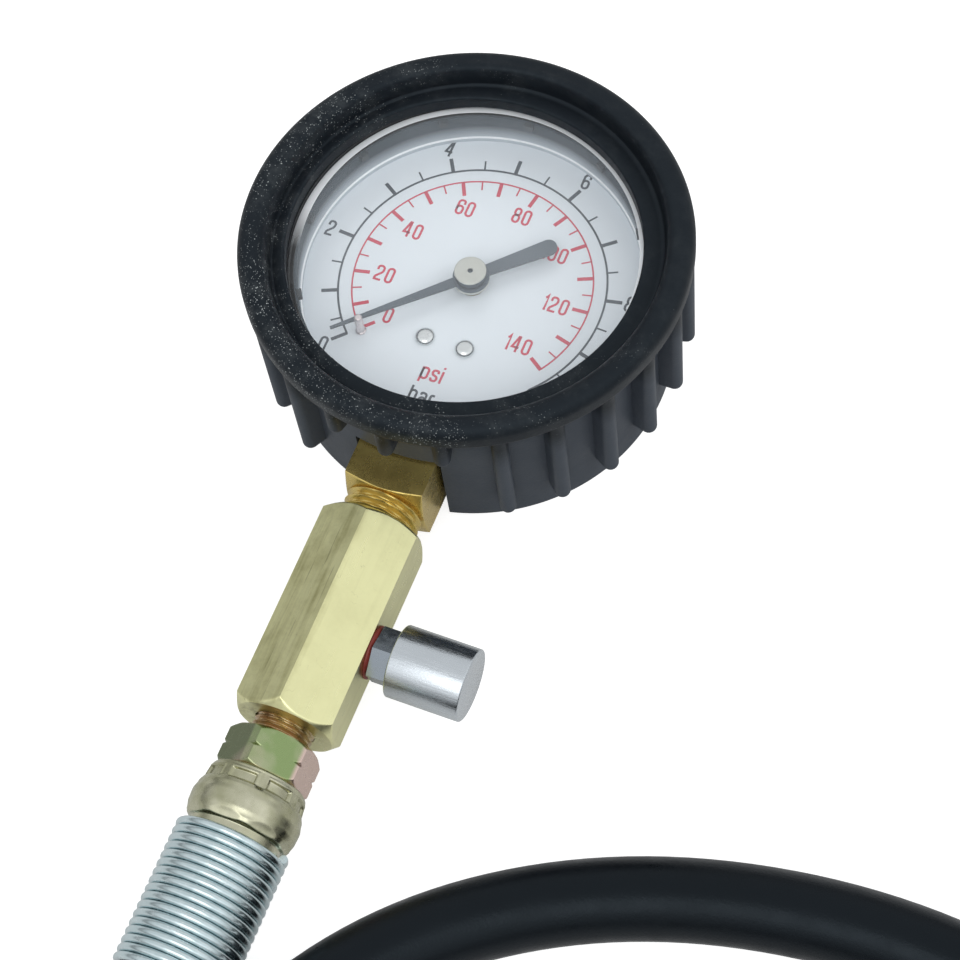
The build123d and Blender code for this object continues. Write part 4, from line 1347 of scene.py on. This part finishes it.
# Brass parts and bleed valve
class TESTER_OT_stem(bpy.types.Operator):
    """Square stem with its turned front and pipe thread"""
    bl_idname = "tester.stem"
    bl_label = "Square stem"

    def execute(self, context):
        def outer(angle, along):
            if along < BLOCK_END:
                lead = min(0.7, max(0.0, STEM_THREAD_END - along + 0.8))
                return STEM_THREAD_R - lead - thread_depth(angle, along, STEM_PITCH, 0.75)
            square = flats(SQUARE_HALF, 4, 0, angle)
            cone = 7.1 + (along - BLOCK_END) * 2.9
            return soft_min(square, cone, 0.22)

        rows = [BLOCK_END + step for step in spread(0.0, 1.5, 26)]
        rows = [BLOCK_IN, *reversed(rows)]
        rows += spread(BLOCK_END - 0.01, STEM_THREAD_END, 120)
        bore = [(BORE_R, STEM_THREAD_END), (BORE_R, BLOCK_IN)]
        angles = cornered(4, 0, (0, 0.4, 0.9, 1.6, 2.6, 4, 6, 9, 13, 18, 24, 30, 36, 41))
        mesh = sleeve(on_stem, angles, rows, outer, bore, sharp=38)
        tongue = slab(((-7, -17.2), (7, -17.2), (7, -8.6), (-7, -8.6)), 7.2, 14.0)
        settle("square_stem", joined([mesh, tongue]),
               finish(golden_brass, "brass_socket", context.scene.tester_metal),
               "brass_socket", "stem_socket")
        return {"FINISHED"}


class TESTER_OT_body(bpy.types.Operator):
    """Hexagon brass body"""
    bl_idname = "tester.body"
    bl_label = "Hexagon body"

    def execute(self, context):
        def outer(angle, along):
            flat = flats(BODY_HALF, 6, 30, angle)
            top = 8.4 + (BODY_TOP - along) * 1.35
            low = 8.3 + along - BODY_LOW
            return soft_min(soft_min(flat, top, 0.2), low, 0.2)

        rows = [BODY_TOP - step for step in spread(0, 1.5, 18)]
        rows += [BODY_TOP - 2.2, (BODY_TOP + BODY_LOW) / 2]
        rows += [BODY_LOW + step for step in spread(2.2, 0, 24)]
        bore = [(5.25, BODY_LOW), (5.25, BODY_LOW + 10.5), (BORE_R, BODY_LOW + 10.5),
                (BORE_R, BODY_TOP - 11), (6.95, BODY_TOP - 11), (6.95, BODY_TOP)]
        mesh = sleeve(on_stem, cornered(6, 30), rows, outer, bore, sharp=30)
        seat = turned(on_valve, [(0, 3.4), (3.95, 3.4), (3.95, 12), (0, 12)], 48)
        settle("hexagon_body", cut(mesh, seat, sharp=30),
               finish(drawn_brass, "brass_body", context.scene.tester_metal),
               "brass_body", "valve_body")
        return {"FINISHED"}


class TESTER_OT_valve(bpy.types.Operator):
    """Bleed valve with its seal, hexagon neck and push cap"""
    bl_idname = "tester.valve"
    bl_label = "Bleed valve"

    def execute(self, context):
        cap = rounded([
            (0, 25.9), (6.25, 25.9, 0.35), (6.25, 12.8, 0.3), (5.39, 12.8, 0.15),
            (5.39, 22.9), (0, 22.9)])
        settle("push_cap", turned(on_valve, cap, 128),
               finish(brushed_chrome, "button_chrome", context.scene.tester_metal),
               "button_chrome", "relief_button", body="button")
        seal = rounded([
            (3.95, 8.5), (4.68, 8.5, 0.12), (4.6, 8.86, 0.12), (4.05, 9.3), (3.95, 9.3)])
        settle("valve_seal", turned(on_valve, seal, 96),
               finish(seal_rubber, "seal_red", srgb(118, 42, 34)),
               "seal_red", "relief_seal")
        dress(finish(plain_metal, "valve_steel", srgb(154, 162, 170), 0.24),
              "relief_valve_body", "relief_plunger")
        return {"FINISHED"}


def screw_steel():
    return finish(plain_metal, "screw_steel", srgb(228, 231, 230), 0.2)


class TESTER_OT_inside(bpy.types.Operator):
    """Finishes of the movement and the other hidden pieces"""
    bl_idname = "tester.inside"
    bl_label = "Movement"

    def execute(self, context):
        dress(finish(plain_metal, "brass_movement", srgb(212, 178, 98), 0.28),
              "sector_gear", "link", "pinion_arbor", "movement_back_plate",
              "movement_front_plate", "movement_pillars", "dial_posts", "tube_tip")
        dress(finish(plain_metal, "bronze_spring", srgb(200, 146, 98), 0.3),
              "hairspring", "bourdon_tube")
        dress(screw_steel(), "movement_screws")
        dress(finish(plain_metal, "spring_steel", srgb(160, 162, 166), 0.25),
              "relief_spring")
        dress(finish(seal_rubber, "seal_black", srgb(28, 28, 30)), "relief_oring")
        return {"FINISHED"}


class TESTER_PT_pieces(bpy.types.Panel):
    bl_idname = "TESTER_PT_pieces"
    bl_label = "Pressure tester"
    bl_space_type = "VIEW_3D"
    bl_region_type = "UI"
    bl_category = "Pressure tester"

    def draw(self, context):
        for operator in PIECES:
            self.layout.operator(operator.bl_idname)
        for name in SETTINGS:
            group = getattr(context.scene, name)
            box = self.layout.box()
            for value in group.bl_rna.properties:
                if value.identifier not in ("rna_type", "name"):
                    box.prop(group, value.identifier)


PIECES = (
    TESTER_OT_stage, TESTER_OT_hose, TESTER_OT_hose_end, TESTER_OT_boot, TESTER_OT_window,
    TESTER_OT_dial, TESTER_OT_pointer, TESTER_OT_stem, TESTER_OT_body, TESTER_OT_valve,
    TESTER_OT_inside,
)
SETTINGS = {
    "tester_stage": StageSettings,
    "tester_hose": HoseSettings,
    "tester_boot": BootSettings,
    "tester_dial": DialSettings,
    "tester_metal": MetalSettings,
}


def register():
    for name, group in SETTINGS.items():
        bpy.utils.register_class(group)
        setattr(bpy.types.Scene, name, PointerProperty(type=group))
    for kind in (*PIECES, TESTER_PT_pieces):
        bpy.utils.register_class(kind)


def unregister():
    for kind in (TESTER_PT_pieces, *reversed(PIECES)):
        bpy.utils.unregister_class(kind)
    for name, group in SETTINGS.items():
        delattr(bpy.types.Scene, name)
        bpy.utils.unregister_class(group)


def main():
    register()
    for operator in PIECES:
        group, name = operator.bl_idname.split(".")
        getattr(getattr(bpy.ops, group), name)()


if __name__ == "__main__":
    main()
